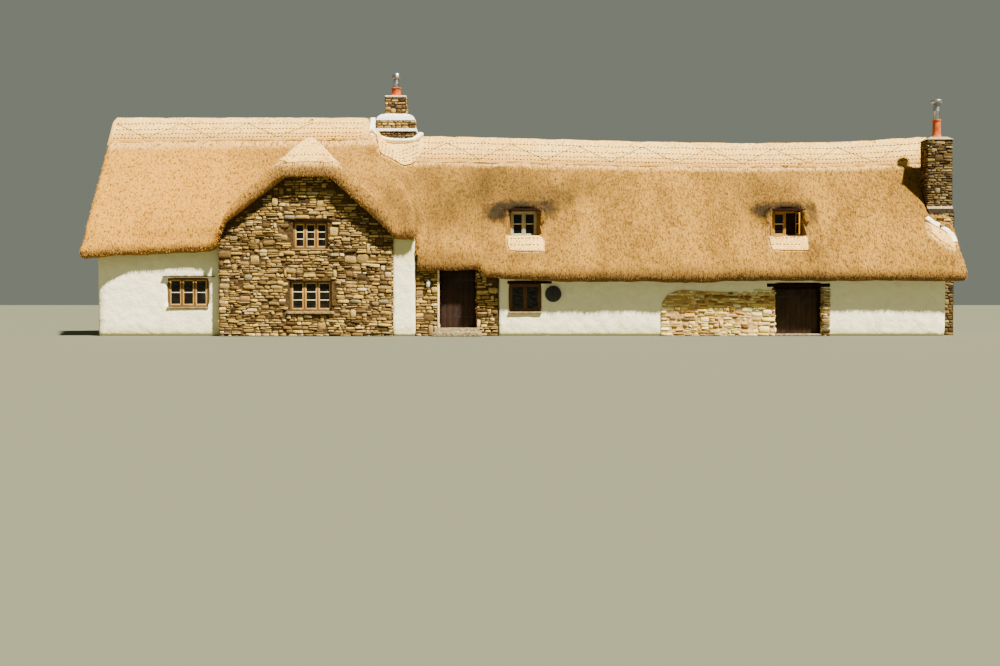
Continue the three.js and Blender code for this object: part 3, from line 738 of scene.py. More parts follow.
@dataclass(frozen=True)
class StrawFinish:
    """Straw laid down the slope.

    Attributes:
        name: The material's name.
        sunny: The palest straw.
        middle: The commonest straw.
        deep: The darkest straw.
        gap: The colour in the gaps between the stalks.
        relief: The depth of the stalks, in metres.
        moss_and_shade_patches: The dark patches: mossy straw, and painted shade round the dormers' heads and
            in the valley beside the wing.
        moss_and_shade: The colour of the mossy straw and of the painted shade.
        net: The width of the meshes of the wire net over it, or 0 for none.
        new: The colour of the new straw beside the sheets of the ridge, or none.
        bright: Where the straw is newest, or none.
        newest: The colour of the newest straw.
        low: The colour of a cap towards its lower edge, or none.
        ends: The colour of the straw on faces that look downwards, or none: the cut ends' own colour, with
            painted bounce light from the ground below.
    """

    name: str
    sunny: Colour
    middle: Colour
    deep: Colour
    gap: Colour
    relief: float
    moss_and_shade_patches: tuple[StrawPatch, ...] = ()
    moss_and_shade: Colour = srgb(40, 33, 21)
    net: float = 0.0
    new: Colour | None = None
    bright: StrawPatch | None = None
    newest: Colour = srgb(216, 151, 40)
    low: Colour | None = None
    ends: Colour | None = None

    def _lying(self, shader: Shader, place: Value, fine: float, length: float) -> Value:
        """Noise drawn out down the slope, whichever way it faces.

        Args:
            shader: The material's nodes.
            place: Where a point lies.
            fine: How fine the stalks are.
            length: Their fineness along the slope, as a share.

        Returns:
            The noise.
        """
        facing = shader.facing("X")
        sideways = facing.larger(0 - facing).rise(0.35, 0.6)
        front = shader.noise(shader.stretched(place, (1.0, length, length)), fine, 3, 0.7)
        side = shader.noise(shader.stretched(place, (length, 1.0, length)), fine, 3, 0.7)
        return front + (side - front) * sideways

    def _meshes(self, shader: Shader, place: Value) -> Value:
        """The thin wires of the net, 1 on a wire.

        Args:
            shader: The material's nodes.
            place: Where a point lies.

        Returns:
            The wires.
        """
        away = shader.axis(place, "Y") * 0.6 + shader.axis(place, "Z")
        along = shader.axis(place, "X")
        flat = shader.node("ShaderNodeCombineXYZ", {}, {0: along, 1: away})
        inputs = {
            "Vector": flat,
            "Scale": 1.0,
            "Mortar Size": 0.011,
            "Mortar Smooth": 0.4,
            "Brick Width": self.net,
            "Row Height": self.net * 0.75,
        }
        return shader.node("ShaderNodeTexBrick", {"offset": 0.5}, inputs, output="Fac")

    def material(self) -> Material:
        """Builds the material.

        Returns:
            The straw's material.
        """
        shader = Shader(self.name)
        place = shader.place()
        flecks = self._lying(shader, place, 15, 0.55)
        stalks = self._lying(shader, place, 46, 0.2)
        clumps = shader.noise(place, 6, 4, 0.65)
        weather = shader.noise(shader.stretched(place, (1.0, 0.5, 0.5)), 0.8, 4, 0.65)
        colour = shader.mix(weather.rise(0.4, 0.62), self.middle, self.sunny)
        colour = shader.mix(flecks.rise(0.47, 0.33) * 0.9, colour, self.sunny)
        colour = shader.mix(clumps.rise(0.52, 0.76) * 0.4, colour, self.deep)
        if self.bright:
            away = self.bright.away(shader, place)
            colour = shader.mix(self.bright.share(away), colour, self.newest)
        if self.new:
            added = shader.attribute("new_straw")
            edge = (added + (clumps - 0.5) * 0.9 + (flecks - 0.5) * 0.8).rise(0.2, 0.8)
            colour = shader.mix(edge * added.rise(0.0, 0.15), colour, self.new)
        if self.low:
            fall = shader.attribute("fall")
            colour = shader.mix((fall + (clumps - 0.5) * 0.15).rise(0.34, 0.8), colour, self.low)
        colour = shader.mix(flecks.rise(0.5, 0.64) * 0.85, colour, self.deep)
        colour = shader.mix(stalks.rise(0.52, 0.7) * 0.55, colour, self.gap)
        # Faces that look downwards turn paler and greyer: the cut ends' colour, and painted bounce light from
        # below.
        if self.ends:
            facing = shader.facing("Z")
            colour = shader.mix((1 - facing.rise(-0.3, 0.3)) * 0.6, colour, self.ends)
        # Each dark patch darkens the straw: mossy straw, and painted shade round the dormers' heads and in
        # the valley beside the wing.
        for dark_patch in self.moss_and_shade_patches:
            ragged = dark_patch.away(shader, place) + (clumps - 0.5) * 1.1 + (flecks - 0.5) * 0.8
            colour = shader.mix(dark_patch.share(ragged), colour, self.moss_and_shade)
        if self.net:
            colour = shader.mix(self._meshes(shader, place) * 0.4, colour, self.gap)
        relief = stalks * 0.5 + flecks * 0.8 + clumps * 0.4
        return shader.surface(colour, 0.95, shader.bump(1 - relief, self.relief), Specular_IOR_Level=0.05)


@dataclass(frozen=True)
class LimewashFinish:
    """Limewash brushed over uneven masonry.

    Attributes:
        name: The material's name.
        fresh: Its cleanest colour.
        worn: Its colour where the rain has washed it.
        damp: Its colour near the ground.
        painted_eave_shade: Painted shade: its colour high up, below the straw, where the eaves shade the
            wall.
    """

    name: str
    fresh: Colour
    worn: Colour
    damp: Colour
    painted_eave_shade: Colour

    def material(self) -> Material:
        """Builds the material.

        Returns:
            The limewash's material.
        """
        shader = Shader(self.name)
        place = shader.place()
        height = shader.axis(place, "Z")
        lumps = shader.noise(place, 3.2, 3, 0.55)
        grit = shader.noise(place, 38, 3, 0.6)
        runs = shader.noise(shader.stretched(place, (6.0, 6.0, 0.8)), 1, 4, 0.6)
        colour = shader.mix(runs.rise(0.5, 0.75) * 0.5, self.fresh, self.worn)
        colour = shader.mix(lumps.rise(0.55, 0.75) * 0.4, colour, self.worn)
        foot = 1 - (height + (lumps - 0.5) * 0.9).rise(0.05, 0.6)
        colour = shader.mix(foot * 0.55, colour, self.damp)
        # Painted shade: the wall turns darker and greener high up, below the eaves.
        colour = shader.mix((height + (lumps - 0.5) * 0.4).rise(2.15, 2.9) * 0.6, colour, self.painted_eave_shade)
        normal = shader.bump(lumps + grit * 0.12, 0.05)
        return shader.surface(colour, 0.9, normal, Specular_IOR_Level=0.1)


@dataclass(frozen=True)
class StoneFinish:
    """Rubble stones, each with its own tone.

    Attributes:
        name: The material's name.
        stops: Tone and colour pairs.
        grime: The colour of the dirt on them.
    """

    name: str
    stops: tuple[tuple[float, Colour], ...]
    grime: Colour

    def material(self) -> Material:
        """Builds the material.

        Returns:
            The stones' material.
        """
        shader = Shader(self.name)
        place = shader.place()
        tone = shader.attribute("tone")
        body = shader.ramp(tone, self.stops)
        mottle = shader.noise(place, 16, 4, 0.65)
        speck = shader.noise(place, 75, 2, 0.6)
        colour = shader.mix(mottle.rise(0.45, 0.72) * 0.6, body, self.grime)
        colour = shader.mix(speck.rise(0.6, 0.75) * 0.35, colour, srgb(232, 214, 170))
        normal = shader.bump(mottle * 0.8 + speck * 0.3, 0.022)
        return shader.surface(colour, 0.92, normal, Specular_IOR_Level=0.1)


@dataclass(frozen=True)
class MortarFinish:
    """Mortar, with bands of white render at given heights.

    Attributes:
        name: The material's name.
        light: Its palest colour.
        dark: Its darkest colour.
        bands: The lowest and highest point of each white band.
        band: The bands' colour.
    """

    name: str
    light: Colour
    dark: Colour
    bands: Pairs = ()
    band: Colour = srgb(250, 244, 228)

    def material(self) -> Material:
        """Builds the material.

        Returns:
            The mortar's material.
        """
        shader = Shader(self.name)
        place = shader.place()
        height = shader.axis(place, "Z")
        lumps = shader.noise(place, 11, 4, 0.6)
        colour = shader.mix(lumps.rise(0.35, 0.65), self.dark, self.light)
        for low, high in self.bands:
            uneven = height + (lumps - 0.5) * 0.03
            inside = uneven.rise(low - 0.006, low + 0.006) * (1 - uneven.rise(high - 0.006, high + 0.006))
            colour = shader.mix(inside, colour, self.band)
        return shader.surface(colour, 0.95, shader.bump(lumps, 0.03), Specular_IOR_Level=0.1)


@dataclass(frozen=True)
class WoodFinish:
    """Wood, with grain along one axis.

    Attributes:
        name: The material's name.
        light: Its palest colour.
        dark: The colour of its grain.
        grain: How many fibres there are in a metre, on each axis.
        roughness: How dull it is.
        shine: How strongly it mirrors.
    """

    name: str
    light: Colour
    dark: Colour
    grain: Triple = (70.0, 70.0, 5.0)
    roughness: float = 0.6
    shine: float = 0.25

    def material(self) -> Material:
        """Builds the material.

        Returns:
            The wood's material.
        """
        shader = Shader(self.name)
        place = shader.place()
        fibre = shader.noise(shader.stretched(place, self.grain), 1, 4, 0.65)
        patch = shader.noise(place, 4, 2, 0.5)
        share = (fibre * 0.7 + patch * 0.3).rise(0.36, 0.64)
        colour = shader.mix(share, self.dark, self.light)
        normal = shader.bump(fibre, 0.004)
        dull = fibre * 0.3 + (self.roughness - 0.15)
        return shader.surface(colour, dull, normal, Specular_IOR_Level=self.shine)


@dataclass(frozen=True)
class ClayFinish:
    """Unglazed clay, streaked with soot.

    Attributes:
        name: The material's name.
        light: Its palest colour.
        dark: Its burnt colour.
        soot: The soot's colour.
    """

    name: str
    light: Colour
    dark: Colour
    soot: Colour

    def material(self) -> Material:
        """Builds the material.

        Returns:
            The clay's material.
        """
        shader = Shader(self.name)
        place = shader.place()
        patch = shader.noise(place, 7, 4, 0.6)
        colour = shader.mix(patch.rise(0.35, 0.65), self.dark, self.light)
        stain = shader.noise(shader.stretched(place, (9.0, 9.0, 1.5)), 1, 3, 0.6)
        colour = shader.mix(stain.rise(0.5, 0.72) * 0.6, colour, self.soot)
        return shader.surface(colour, 0.85, shader.bump(patch, 0.004), Specular_IOR_Level=0.15)


@dataclass(frozen=True)
class MetalFinish:
    """Bare or painted metal.

    Attributes:
        name: The material's name.
        light: Its cleanest colour.
        dark: Its stained colour.
        metallic: 1 for bare metal, 0 for paint.
        roughness: How dull it is.
    """

    name: str
    light: Colour
    dark: Colour
    metallic: float
    roughness: float

    def material(self) -> Material:
        """Builds the material.

        Returns:
            The metal's material.
        """
        shader = Shader(self.name)
        place = shader.place()
        stain = shader.noise(shader.stretched(place, (8.0, 8.0, 2.0)), 1.5, 4, 0.6)
        colour = shader.mix(stain.rise(0.42, 0.7), self.light, self.dark)
        dull = stain * 0.3 + (self.roughness - 0.12)
        normal = shader.bump(shader.noise(place, 30, 2), 0.0015)
        return shader.surface(colour, dull, normal, Metallic=self.metallic)


@dataclass(frozen=True)
class GlassFinish:
    """Old window glass with a dark room behind it.

    Attributes:
        name: The material's name.
        room: What shows through it.
        glow: Where a wall inside catches the light.
    """

    name: str
    room: Colour
    glow: Colour

    def material(self) -> Material:
        """Builds the material.

        Returns:
            The glass's material.
        """
        shader = Shader(self.name)
        place = shader.place()
        depth = shader.noise(place, 3.5, 2, 0.5)
        colour = shader.mix(depth.rise(0.5, 0.75), self.room, self.glow)
        ripple = shader.bump(shader.noise(place, 7, 1), 0.004)
        return shader.surface(colour, 0.1, ripple, Specular_IOR_Level=0.3)


@dataclass(frozen=True)
class PavedFinish:
    """A floor of flagstones or boards.

    Attributes:
        name: The material's name.
        light: The palest piece.
        dark: The darkest piece.
        joint: The joints' colour.
        size: The length and width of a piece, in metres.
        gap: The joints' width.
    """

    name: str
    light: Colour
    dark: Colour
    joint: Colour
    size: Pair
    gap: float

    def material(self) -> Material:
        """Builds the material.

        Returns:
            The floor's material.
        """
        shader = Shader(self.name)
        place = shader.place()
        inputs = {
            "Vector": place,
            "Color1": self.light,
            "Color2": self.dark,
            "Mortar": self.joint,
            "Scale": 1.0,
            "Mortar Size": self.gap,
            "Brick Width": self.size[0],
            "Row Height": self.size[1],
        }
        laid = shader.node("ShaderNodeTexBrick", {"offset": 0.5}, inputs, output="Color")
        joints = shader.node("ShaderNodeTexBrick", {"offset": 0.5}, inputs, output="Fac")
        wear = shader.noise(place, 5, 4, 0.6)
        colour = shader.mix(wear.rise(0.4, 0.7) * 0.4, laid, self.dark)
        normal = shader.bump(wear * 0.5 - joints, 0.006)
        return shader.surface(colour, wear * 0.3 + 0.5, normal)


class Palette:
    """Every finish of the house."""

    def _stone_stops(self, light: float) -> tuple[tuple[float, Colour], ...]:
        """The tones of the rubble, made darker or lighter.

        Args:
            light: What each channel is multiplied by.

        Returns:
            The places and colours of the tones.
        """
        tones = (
            (0.0, srgb(62, 46, 21)),
            (0.12, srgb(98, 73, 34)),
            (0.3, srgb(146, 117, 60)),
            (0.5, srgb(188, 156, 84)),
            (0.62, srgb(112, 85, 42)),
            (0.76, srgb(206, 174, 102)),
            (0.88, srgb(136, 104, 60)),
            (0.95, srgb(226, 198, 134)),
            (1.0, srgb(120, 108, 80)),
        )
        stops = []
        for place, colour in tones:
            red, green, blue = (min(channel * light, 0.9) for channel in colour[:3])
            stops.append((place, (red, green, blue, 1.0)))
        return tuple(stops)

    def __init__(self) -> None:
        """Builds the materials."""
        # Dark patches of the straw: mossy and dirty straw, and painted shade round the dormers' heads and in
        # the valley beside the wing.
        moss_and_shade_patches = (
            # Round the first dormer's head: dirt, and painted shade under the brow.
            StrawPatch((-0.12, 4.3), (0.62, 0.48), 0.95),
            StrawPatch((0.38, 4.52), (0.8, 0.32), 0.85),
            StrawPatch((1.0, 4.55), (1.1, 0.28), 0.8),
            StrawPatch((1.72, 4.42), (0.42, 0.5), 0.8),
            StrawPatch((2.0, 4.85), (1.0, 0.6), 0.42),
            StrawPatch((0.3, 5.2), (2.7, 1.1), 0.56),
            StrawPatch((-2.3, 4.7), (1.3, 1.5), 0.34),
            StrawPatch((-1.1, 4.3), (1.1, 1.0), 0.25),
            StrawPatch((-1.5, 5.95), (2.3, 0.45), 0.22),
            StrawPatch((1.0, 2.95), (1.8, 0.5), 0.2),
            # Round the second dormer's head: dirt, and painted shade under the brow; the patch at its right
            # reveal is painted shade.
            StrawPatch((9.18, 4.4), (0.52, 0.4), 0.92),
            StrawPatch((10.1, 4.54), (1.1, 0.26), 0.85),
            StrawPatch((10.98, 4.35), (0.32, 0.55), 0.75),
            StrawPatch((9.6, 4.95), (1.8, 0.9), 0.34),
            StrawPatch((10.75, 2.9), (0.5, 0.5), 0.38),
            StrawPatch((3.0, 5.3), (0.9, 0.7), 0.35),
            StrawPatch((6.5, 1.98), (13.0, 0.48), 0.46),
            StrawPatch((-12.0, 2.9), (3.6, 0.4), 0.25),
            StrawPatch((-1.6, 2.5), (2.2, 0.5), 0.4),
            # In the valley right of the wing's crest: dirt, and painted shade below the crest.
            StrawPatch((-4.25, 5.3), (0.5, 0.45), 0.26),
            StrawPatch((-3.72, 4.8), (0.42, 0.55), 0.32),
            StrawPatch((-3.3, 4.2), (0.36, 0.55), 0.36),
            StrawPatch((-3.1, 3.65), (0.3, 0.45), 0.36),
            StrawPatch((-3.0, 5.6), (0.8, 0.6), 0.24),
            StrawPatch((-0.8, 5.3), (0.7, 0.7), 0.26),
        )
        self.thatch = StrawFinish(
            "combed_straw",
            srgb(168, 122, 46),
            srgb(136, 97, 34),
            srgb(80, 57, 21),
            srgb(40, 29, 12),
            0.05,
            moss_and_shade_patches,
            new=srgb(222, 172, 92),
            bright=StrawPatch((-13.4, 5.4), (6.5, 6.0), 0.62),
            # Paler, greyer straw on faces that look downwards: painted bounce light, and the cut ends'
            # colour.
            ends=srgb(142, 106, 68),
        ).material()
        self.cap = StrawFinish(
            "ridge_straw",
            srgb(250, 206, 112),
            srgb(236, 186, 96),
            srgb(172, 126, 64),
            srgb(98, 72, 38),
            0.02,
            net=0.13,
            low=srgb(208, 156, 70),
        ).material()
        self.limewash = LimewashFinish(
            "limewash",
            srgb(253, 245, 203),
            srgb(240, 230, 180),
            srgb(196, 188, 120),
            # Painted shade below the eaves.
            srgb(204, 194, 120),
        ).material()
        self.stone = StoneFinish("rubble_stone", self._stone_stops(0.96), srgb(60, 44, 20)).material()
        self.patch_stone = StoneFinish("patch_stone", self._stone_stops(2.2), srgb(168, 128, 74)).material()
        self.stack_stone = StoneFinish("stack_stone", self._stone_stops(0.88), srgb(50, 34, 18)).material()
        # The darkest stones: partly their own dark tone, partly painted shade on the central chimney's foot
        # and on the end chimney.
        self.dark_stone_and_shade = StoneFinish("end_stack_stone", self._stone_stops(0.36), srgb(36, 27, 14)).material()
        self.mortar = MortarFinish("lime_mortar", srgb(84, 64, 32), srgb(52, 38, 18)).material()
        self.patch_mortar = MortarFinish("pale_mortar", srgb(206, 166, 104), srgb(160, 124, 74)).material()
        white_bands = ((7.46, 7.57), (7.87, 8.12), (8.74, 8.8))
        self.stack_mortar = MortarFinish(
            "stack_mortar", srgb(62, 46, 26), srgb(34, 25, 14), white_bands
        ).material()
        pale_bands = ((4.47, 4.6), (6.915, 7.1))
        self.end_mortar = MortarFinish(
            "end_stack_mortar", srgb(46, 35, 20), srgb(26, 20, 12), pale_bands, srgb(150, 132, 96)
        ).material()
        self.render = MortarFinish("white_render", srgb(254, 248, 228), srgb(236, 224, 192)).material()
        self.oak = WoodFinish("honey_oak", srgb(114, 86, 42), srgb(78, 54, 24)).material()
        self.sash_oak = WoodFinish("sash_oak", srgb(204, 160, 80), srgb(158, 114, 52)).material()
        self.cream = WoodFinish(
            "cream_paint", srgb(196, 192, 150), srgb(158, 156, 118), roughness=0.5
        ).material()
        self.golden = WoodFinish("golden_oak", srgb(192, 148, 58), srgb(148, 106, 36)).material()
        self.lining = WoodFinish(
            "lining_boards", srgb(152, 114, 36), srgb(92, 60, 20), (50.0, 5.0, 50.0)
        ).material()
        self.bar = WoodFinish("pale_bars", srgb(248, 230, 180), srgb(222, 200, 146), roughness=0.5).material()
        self.brown = WoodFinish("brown_stain", srgb(110, 74, 38), srgb(66, 42, 20)).material()
        self.plank = WoodFinish("dark_planks", srgb(72, 48, 28), srgb(34, 21, 11), roughness=0.65).material()
        lying = (5.0, 60.0, 60.0)
        self.beam = WoodFinish("black_timber", srgb(46, 25, 10), srgb(20, 11, 5), lying, 0.8, 0.05).material()
        self.clay = ClayFinish(
            "chimney_clay", srgb(196, 98, 40), srgb(140, 62, 24), srgb(92, 48, 28)
        ).material()
        self.steel = MetalFinish(
            "liner_steel", (0.62, 0.62, 0.65, 1), (0.24, 0.22, 0.22, 1), 1.0, 0.3
        ).material()
        self.rod = WoodFinish(
            "hazel_rods", srgb(78, 56, 30), srgb(46, 32, 17), (6.0, 40.0, 40.0), 0.8
        ).material()
        self.sill = MortarFinish("pale_sill", srgb(150, 126, 84), srgb(112, 92, 58)).material()
        self.step = MortarFinish("worn_step", srgb(150, 132, 96), srgb(100, 84, 56)).material()
        self.iron = MetalFinish("black_iron", srgb(34, 33, 30), srgb(18, 17, 15), 0.0, 0.55).material()
        self.lamp = MetalFinish("milk_glass", srgb(226, 226, 216), srgb(184, 184, 172), 0.0, 0.25).material()
        self.door = WoodFinish("dark_door", srgb(54, 32, 17), srgb(30, 18, 10), roughness=0.7).material()
        self.glass = GlassFinish("dark_glass", srgb(16, 13, 8), srgb(40, 32, 20)).material()
        self.flags = PavedFinish(
            "flagstones", srgb(150, 142, 128), srgb(112, 106, 96), srgb(84, 78, 68), (0.9, 0.6), 0.012
        ).material()
        self.boards = PavedFinish(
            "floor_boards", srgb(160, 118, 74), srgb(120, 84, 48), srgb(52, 34, 20), (2.8, 0.22), 0.004
        ).material()


# Sub-assemblies


def face_places(obj: Object) -> tuple[np.ndarray, np.ndarray]:
    """The middles and normals of an object's faces.

    Args:
        obj: The object.

    Returns:
        The middles and the normals, one row each.
    """
    count = len(obj.data.polygons)
    middles = np.empty(count * 3)
    normals = np.empty(count * 3)
    obj.data.polygons.foreach_get("center", middles)
    obj.data.polygons.foreach_get("normal", normals)
    return middles.reshape(-1, 3), normals.reshape(-1, 3)


def drape(tree: BVHTree, x: float, y: float, lift: float) -> Vector | None:
    """The point of a surface straight under a place, lifted a little.

    Args:
        tree: The surface.
        x: The place's x, in the house's own measures.
        y: The place's y.
        lift: How far above the surface, along its normal.

    Returns:
        The point, in the frame, or None past the surface's edge.
    """
    hit, normal, _face, _distance = tree.ray_cast(at(x, y, ABOVE_ROOF), Vector((0, 0, -1)))
    return None if hit is None else hit + normal * lift


def cut(place: Sequence[float], facing: Sequence[float], **settings: bool) -> None:
    """Cuts the whole mesh that is being edited along a plane.

    Args:
        place: A point of the plane.
        facing: The way that the plane faces.
        settings: Whether what lies beyond it is cleared, and the hole filled.
    """
    bpy.ops.mesh.select_all(action="SELECT")
    bpy.ops.mesh.bisect(plane_co=place, plane_no=facing, **settings)


def cut_grid(obj: Object, steps: Triple) -> None:
    """Cuts a mesh along evenly spaced planes, so that it can be made uneven.

    Args:
        obj: The mesh.
        steps: The distance between the planes on each axis, or 0 for none.
    """
    low = [min(vertex.co[axis] for vertex in obj.data.vertices) for axis in range(3)]
    high = [max(vertex.co[axis] for vertex in obj.data.vertices) for axis in range(3)]
    with editing(obj):
        for axis, step in enumerate(steps):
            if not step:
                continue
            facing = [0.0, 0.0, 0.0]
            facing[axis] = 1.0
            for number in range(1, int((high[axis] - low[axis]) / step) + 1):
                point = list(low)
                point[axis] += number * step - step * CUT_SHIFT
                cut(point, facing)


def roughen(obj: Object, size: float, depth: float, middle: float = 0.5) -> None:
    """Pushes a surface in and out with soft clouds.

    Args:
        obj: The mesh.
        size: The size of the lumps.
        depth: The height between the deepest and the highest lump.
        middle: The share of the depth that goes inwards.
    """
    clouds = bpy.data.textures.new(obj.name + "_clouds", "CLOUDS")
    clouds.noise_scale = size
    modify(obj, "DISPLACE", texture=clouds, texture_coords="LOCAL", strength=depth, mid_level=middle)


def timber(boxes: Sequence[Box], name: str, bevel: float) -> Object:
    """Squared members with eased edges, as one mesh.

    Args:
        boxes: The lowest and highest corner of each member, in the house's own measures.
        name: The piece's name.
        bevel: The width of the eased edges.

    Returns:
        The members.
    """
    piece = join([block(low, high) for low, high in boxes], name)
    ease(piece, bevel)
    shade(35)
    return piece


def turn_round(piece: Object, x: float) -> None:
    """Turns a piece half round about the upright line below the ridge at an x of the house's own."""
    with editing(piece):
        bpy.ops.transform.rotate(value=math.pi, orient_axis="Z", center_override=at(x, RIDGE_Y, 0))


def select_points(piece: Object, chosen: Callable[[Vector], bool]) -> None:
    """Selects some of a piece's points and leaves it in edit mode.

    Args:
        piece: The piece.
        chosen: Whether a point, in the house's own measures, is selected.
    """
    activate(piece)
    bpy.ops.object.mode_set(mode="EDIT")
    bpy.ops.mesh.select_mode(type="VERT")
    bpy.ops.mesh.select_all(action="DESELECT")
    bpy.ops.object.mode_set(mode="OBJECT")
    for vertex in piece.data.vertices:
        vertex.select = chosen(vertex.co - ORIGIN)
    bpy.ops.object.mode_set(mode="EDIT")


def nudge(piece: Object, chosen: Callable[[Vector], bool], step: Triple) -> None:
    """Moves some of a piece's points.

    Args:
        piece: The piece.
        chosen: Whether a point, in the house's own measures, is moved.
        step: How far they are moved.
    """
    select_points(piece, chosen)
    bpy.ops.transform.translate(value=step)
    bpy.ops.object.mode_set(mode="OBJECT")


def stand(piece: Object) -> None:
    """Presses whatever part of a piece lies under the floor flat on it.

    Args:
        piece: The piece.
    """
    if min(vertex.co.z for vertex in piece.data.vertices) < 0:
        select_points(piece, lambda point: point.z < 0)
        bpy.ops.transform.resize(value=(1, 1, 0), center_override=(0, 0, 0))
        bpy.ops.object.mode_set(mode="OBJECT")


def eased(nodes: Sequence[str], name: str, width: float) -> Object:
    """A copy of CAD pieces whose edges are eased.

    Args:
        nodes: The CAD pieces.
        name: The copy's name.
        width: The width of the eased edges.

    Returns:
        The copy.
    """
    piece = copy_nodes(nodes, name)
    with editing(piece):
        bpy.ops.mesh.dissolve_limited(angle_limit=math.radians(1))
    ease(piece, width)
    shade(35)
    return piece


@dataclass(frozen=True)
class Sag:
    """A stretch of an eave that hangs lower.

    Attributes:
        span: Its ends, in the house's own measures.
        under: The height below which the straw moves whole.
        drop: How much lower it hangs.
        back: How much nearer to the wall it hangs.
        reach: How far round it the straw follows.
    """

    span: Pair
    under: float
    drop: float
    reach: float
    back: float = 0.0


@dataclass
class ThatchRoof:
    """The straw of the long roof and the wing.

    Attributes:
        front_nodes: The CAD pieces of the front half.
        rear_nodes: The CAD pieces of the rear half.
        voxels: The size of the remeshed faces of the front half and of the rear half.
        rounding: How often the surface is smoothed.
        brows: The middle of each dormer.
        brow_half: The points of half a brow, from its foot up, with x counted from the dormer's middle.
        brow_top: The y and z of its highest point.
        brow_radius: Half its thickness.
        lumps: The size, the depth and the inward share of the straw's unevenness.
        tufts: How many straw ends lie on the front half and on the rear half.
        bundles: How many kinds of straw ends there are.
        sags: The stretches of the front eaves that hang lower.
        eave_y: How far in the eaves reach that can hang lower.
        slope_from: How much a face of the slopes looks up, at the least.
        edge_from: How much a face of the cut edges looks up, at the least.
        edge_every: One in so many straw ends lies on a cut edge.
        slope_length: The shortest and longest straw end of the slopes.
        edge_length: The shortest and longest straw end of the cut edges.
        width: The thinnest and thickest straw end.
        slip: How far a straw end may lie from the middle of its face.
        wing_x: The ends of the wing.
        wing_y: The place past which the wing's straw overhangs its gable.
        ends_x: The places past which the straw overhangs the end walls.
        eaves_y: The places past which it overhangs the front and the rear wall.
    """

    front_nodes: tuple[str, ...] = (
        "thatch_front_west",
        "thatch_wing_west",
        "thatch_wing_east",
        "thatch_front_centre",
        "thatch_front_east",
    )
    rear_nodes: tuple[str, ...] = ("thatch_rear_west", "thatch_rear_east")
    voxels: Pair = (0.083, 0.1)
    rounding: int = 5
    brows: Pair = (0.835, 10.045)
    brow_half: tuple[Triple, ...] = (
        (0.68, 0.6, 3.92),
        (0.66, 0.74, 4.24),
        (0.53, 0.81, 4.45),
        (0.27, 0.82, 4.52),
    )
    brow_top: Pair = (0.82, 4.54)
    brow_radius: float = 0.15
    lumps: tuple[Triple, ...] = ((0.9, 0.06, 0.55), (0.25, 0.03, 0.5))
    tufts: tuple[int, int] = (17000, 7000)
    bundles: int = 3
    sags: tuple[Sag, ...] = (
        Sag((-14.9, -9.95), 3.3, 0.13, 0.5),
        Sag((-12.4, -10.2), 3.3, 0.0, 1.0, 0.24),
        Sag((-2.75, -0.7), 2.75, 0.05, 0.4),
        Sag((0.1, 15.9), 2.35, 0.09, 0.5),
        Sag((2.2, 4.4), 2.35, 0.05, 0.8),
        Sag((6.0, 6.8), 2.35, 0.07, 1.5),
    )
    eave_y: float = 0.05
    slope_from: float = 0.12
    edge_from: float = -0.55
    edge_every: int = 5
    slope_length: Pair = (0.12, 0.24)
    edge_length: Pair = (0.05, 0.1)
    width: Pair = (0.012, 0.026)
    slip: float = 0.04
    wing_x: Pair = (-9.7, -3.6)
    wing_y: float = -0.3
    ends_x: Pair = (-13.95, 15.5)
    eaves_y: Pair = (-0.15, 6.7)

    def _brow(self, middle: float, rear: bool) -> Object:
        """The thick lip of straw over one dormer.

        Args:
            middle: The x of the dormer's middle.
            rear: Whether it lies on the rear half.

        Returns:
            The lip.
        """
        path = [at(middle - x, y, z) for x, y, z in self.brow_half]
        path.append(at(middle, *self.brow_top))
        path += [at(middle + x, y, z) for x, y, z in reversed(self.brow_half)]
        lip = rods([path], self.brow_radius, "brow")
        if rear:
            turn_round(lip, middle)
        return lip

    def _coat(self, nodes: Sequence[str], name: str, rear: bool) -> Object:
        """Remeshes, rounds and roughens one half of the roof.

        Args:
            nodes: The CAD pieces of the half.
            name: The coat's name.
            rear: Whether it is the rear half.

        Returns:
            The coat.
        """
        straw = copy_nodes(nodes, name)
        coat = join([straw, *[self._brow(middle, rear) for middle in self.brows]], name)
        melt(coat, self.voxels[rear], self.rounding)
        if not rear:
            for sag in self.sags:
                self._lower(coat, sag)
        for lump in self.lumps:
            roughen(coat, *lump)
        return coat

    def _lower(self, coat: Object, sag: Sag) -> None:
        """Lets one stretch of an eave hang lower.

        Args:
            coat: The straw.
            sag: The stretch.
        """
        west, east = sag.span
        select_points(
            coat, lambda point: west < point.x < east and point.y < self.eave_y and point.z < sag.under
        )
        bpy.ops.transform.translate(
            value=(0, sag.back, -sag.drop),
            use_proportional_edit=True,
            proportional_edit_falloff="SMOOTH",
            proportional_size=sag.reach,
        )
        bpy.ops.object.mode_set(mode="OBJECT")

    def _prototypes(self) -> list[Object]:
        """Models a few flat bundles of straw ends, a metre long and wide.

        Returns:
            The bundles.
        """
        bundles = []
        for seed in range(self.bundles):
            deselect()
            bpy.ops.mesh.primitive_cone_add(vertices=3 + seed % 2, radius1=0.5, radius2=0.28, depth=1.0)
            bundle = bpy.context.object
            with editing(bundle):
                bpy.ops.transform.vertex_random(offset=0.08, seed=seed + 1)
            bundles.append(bundle)
        return bundles

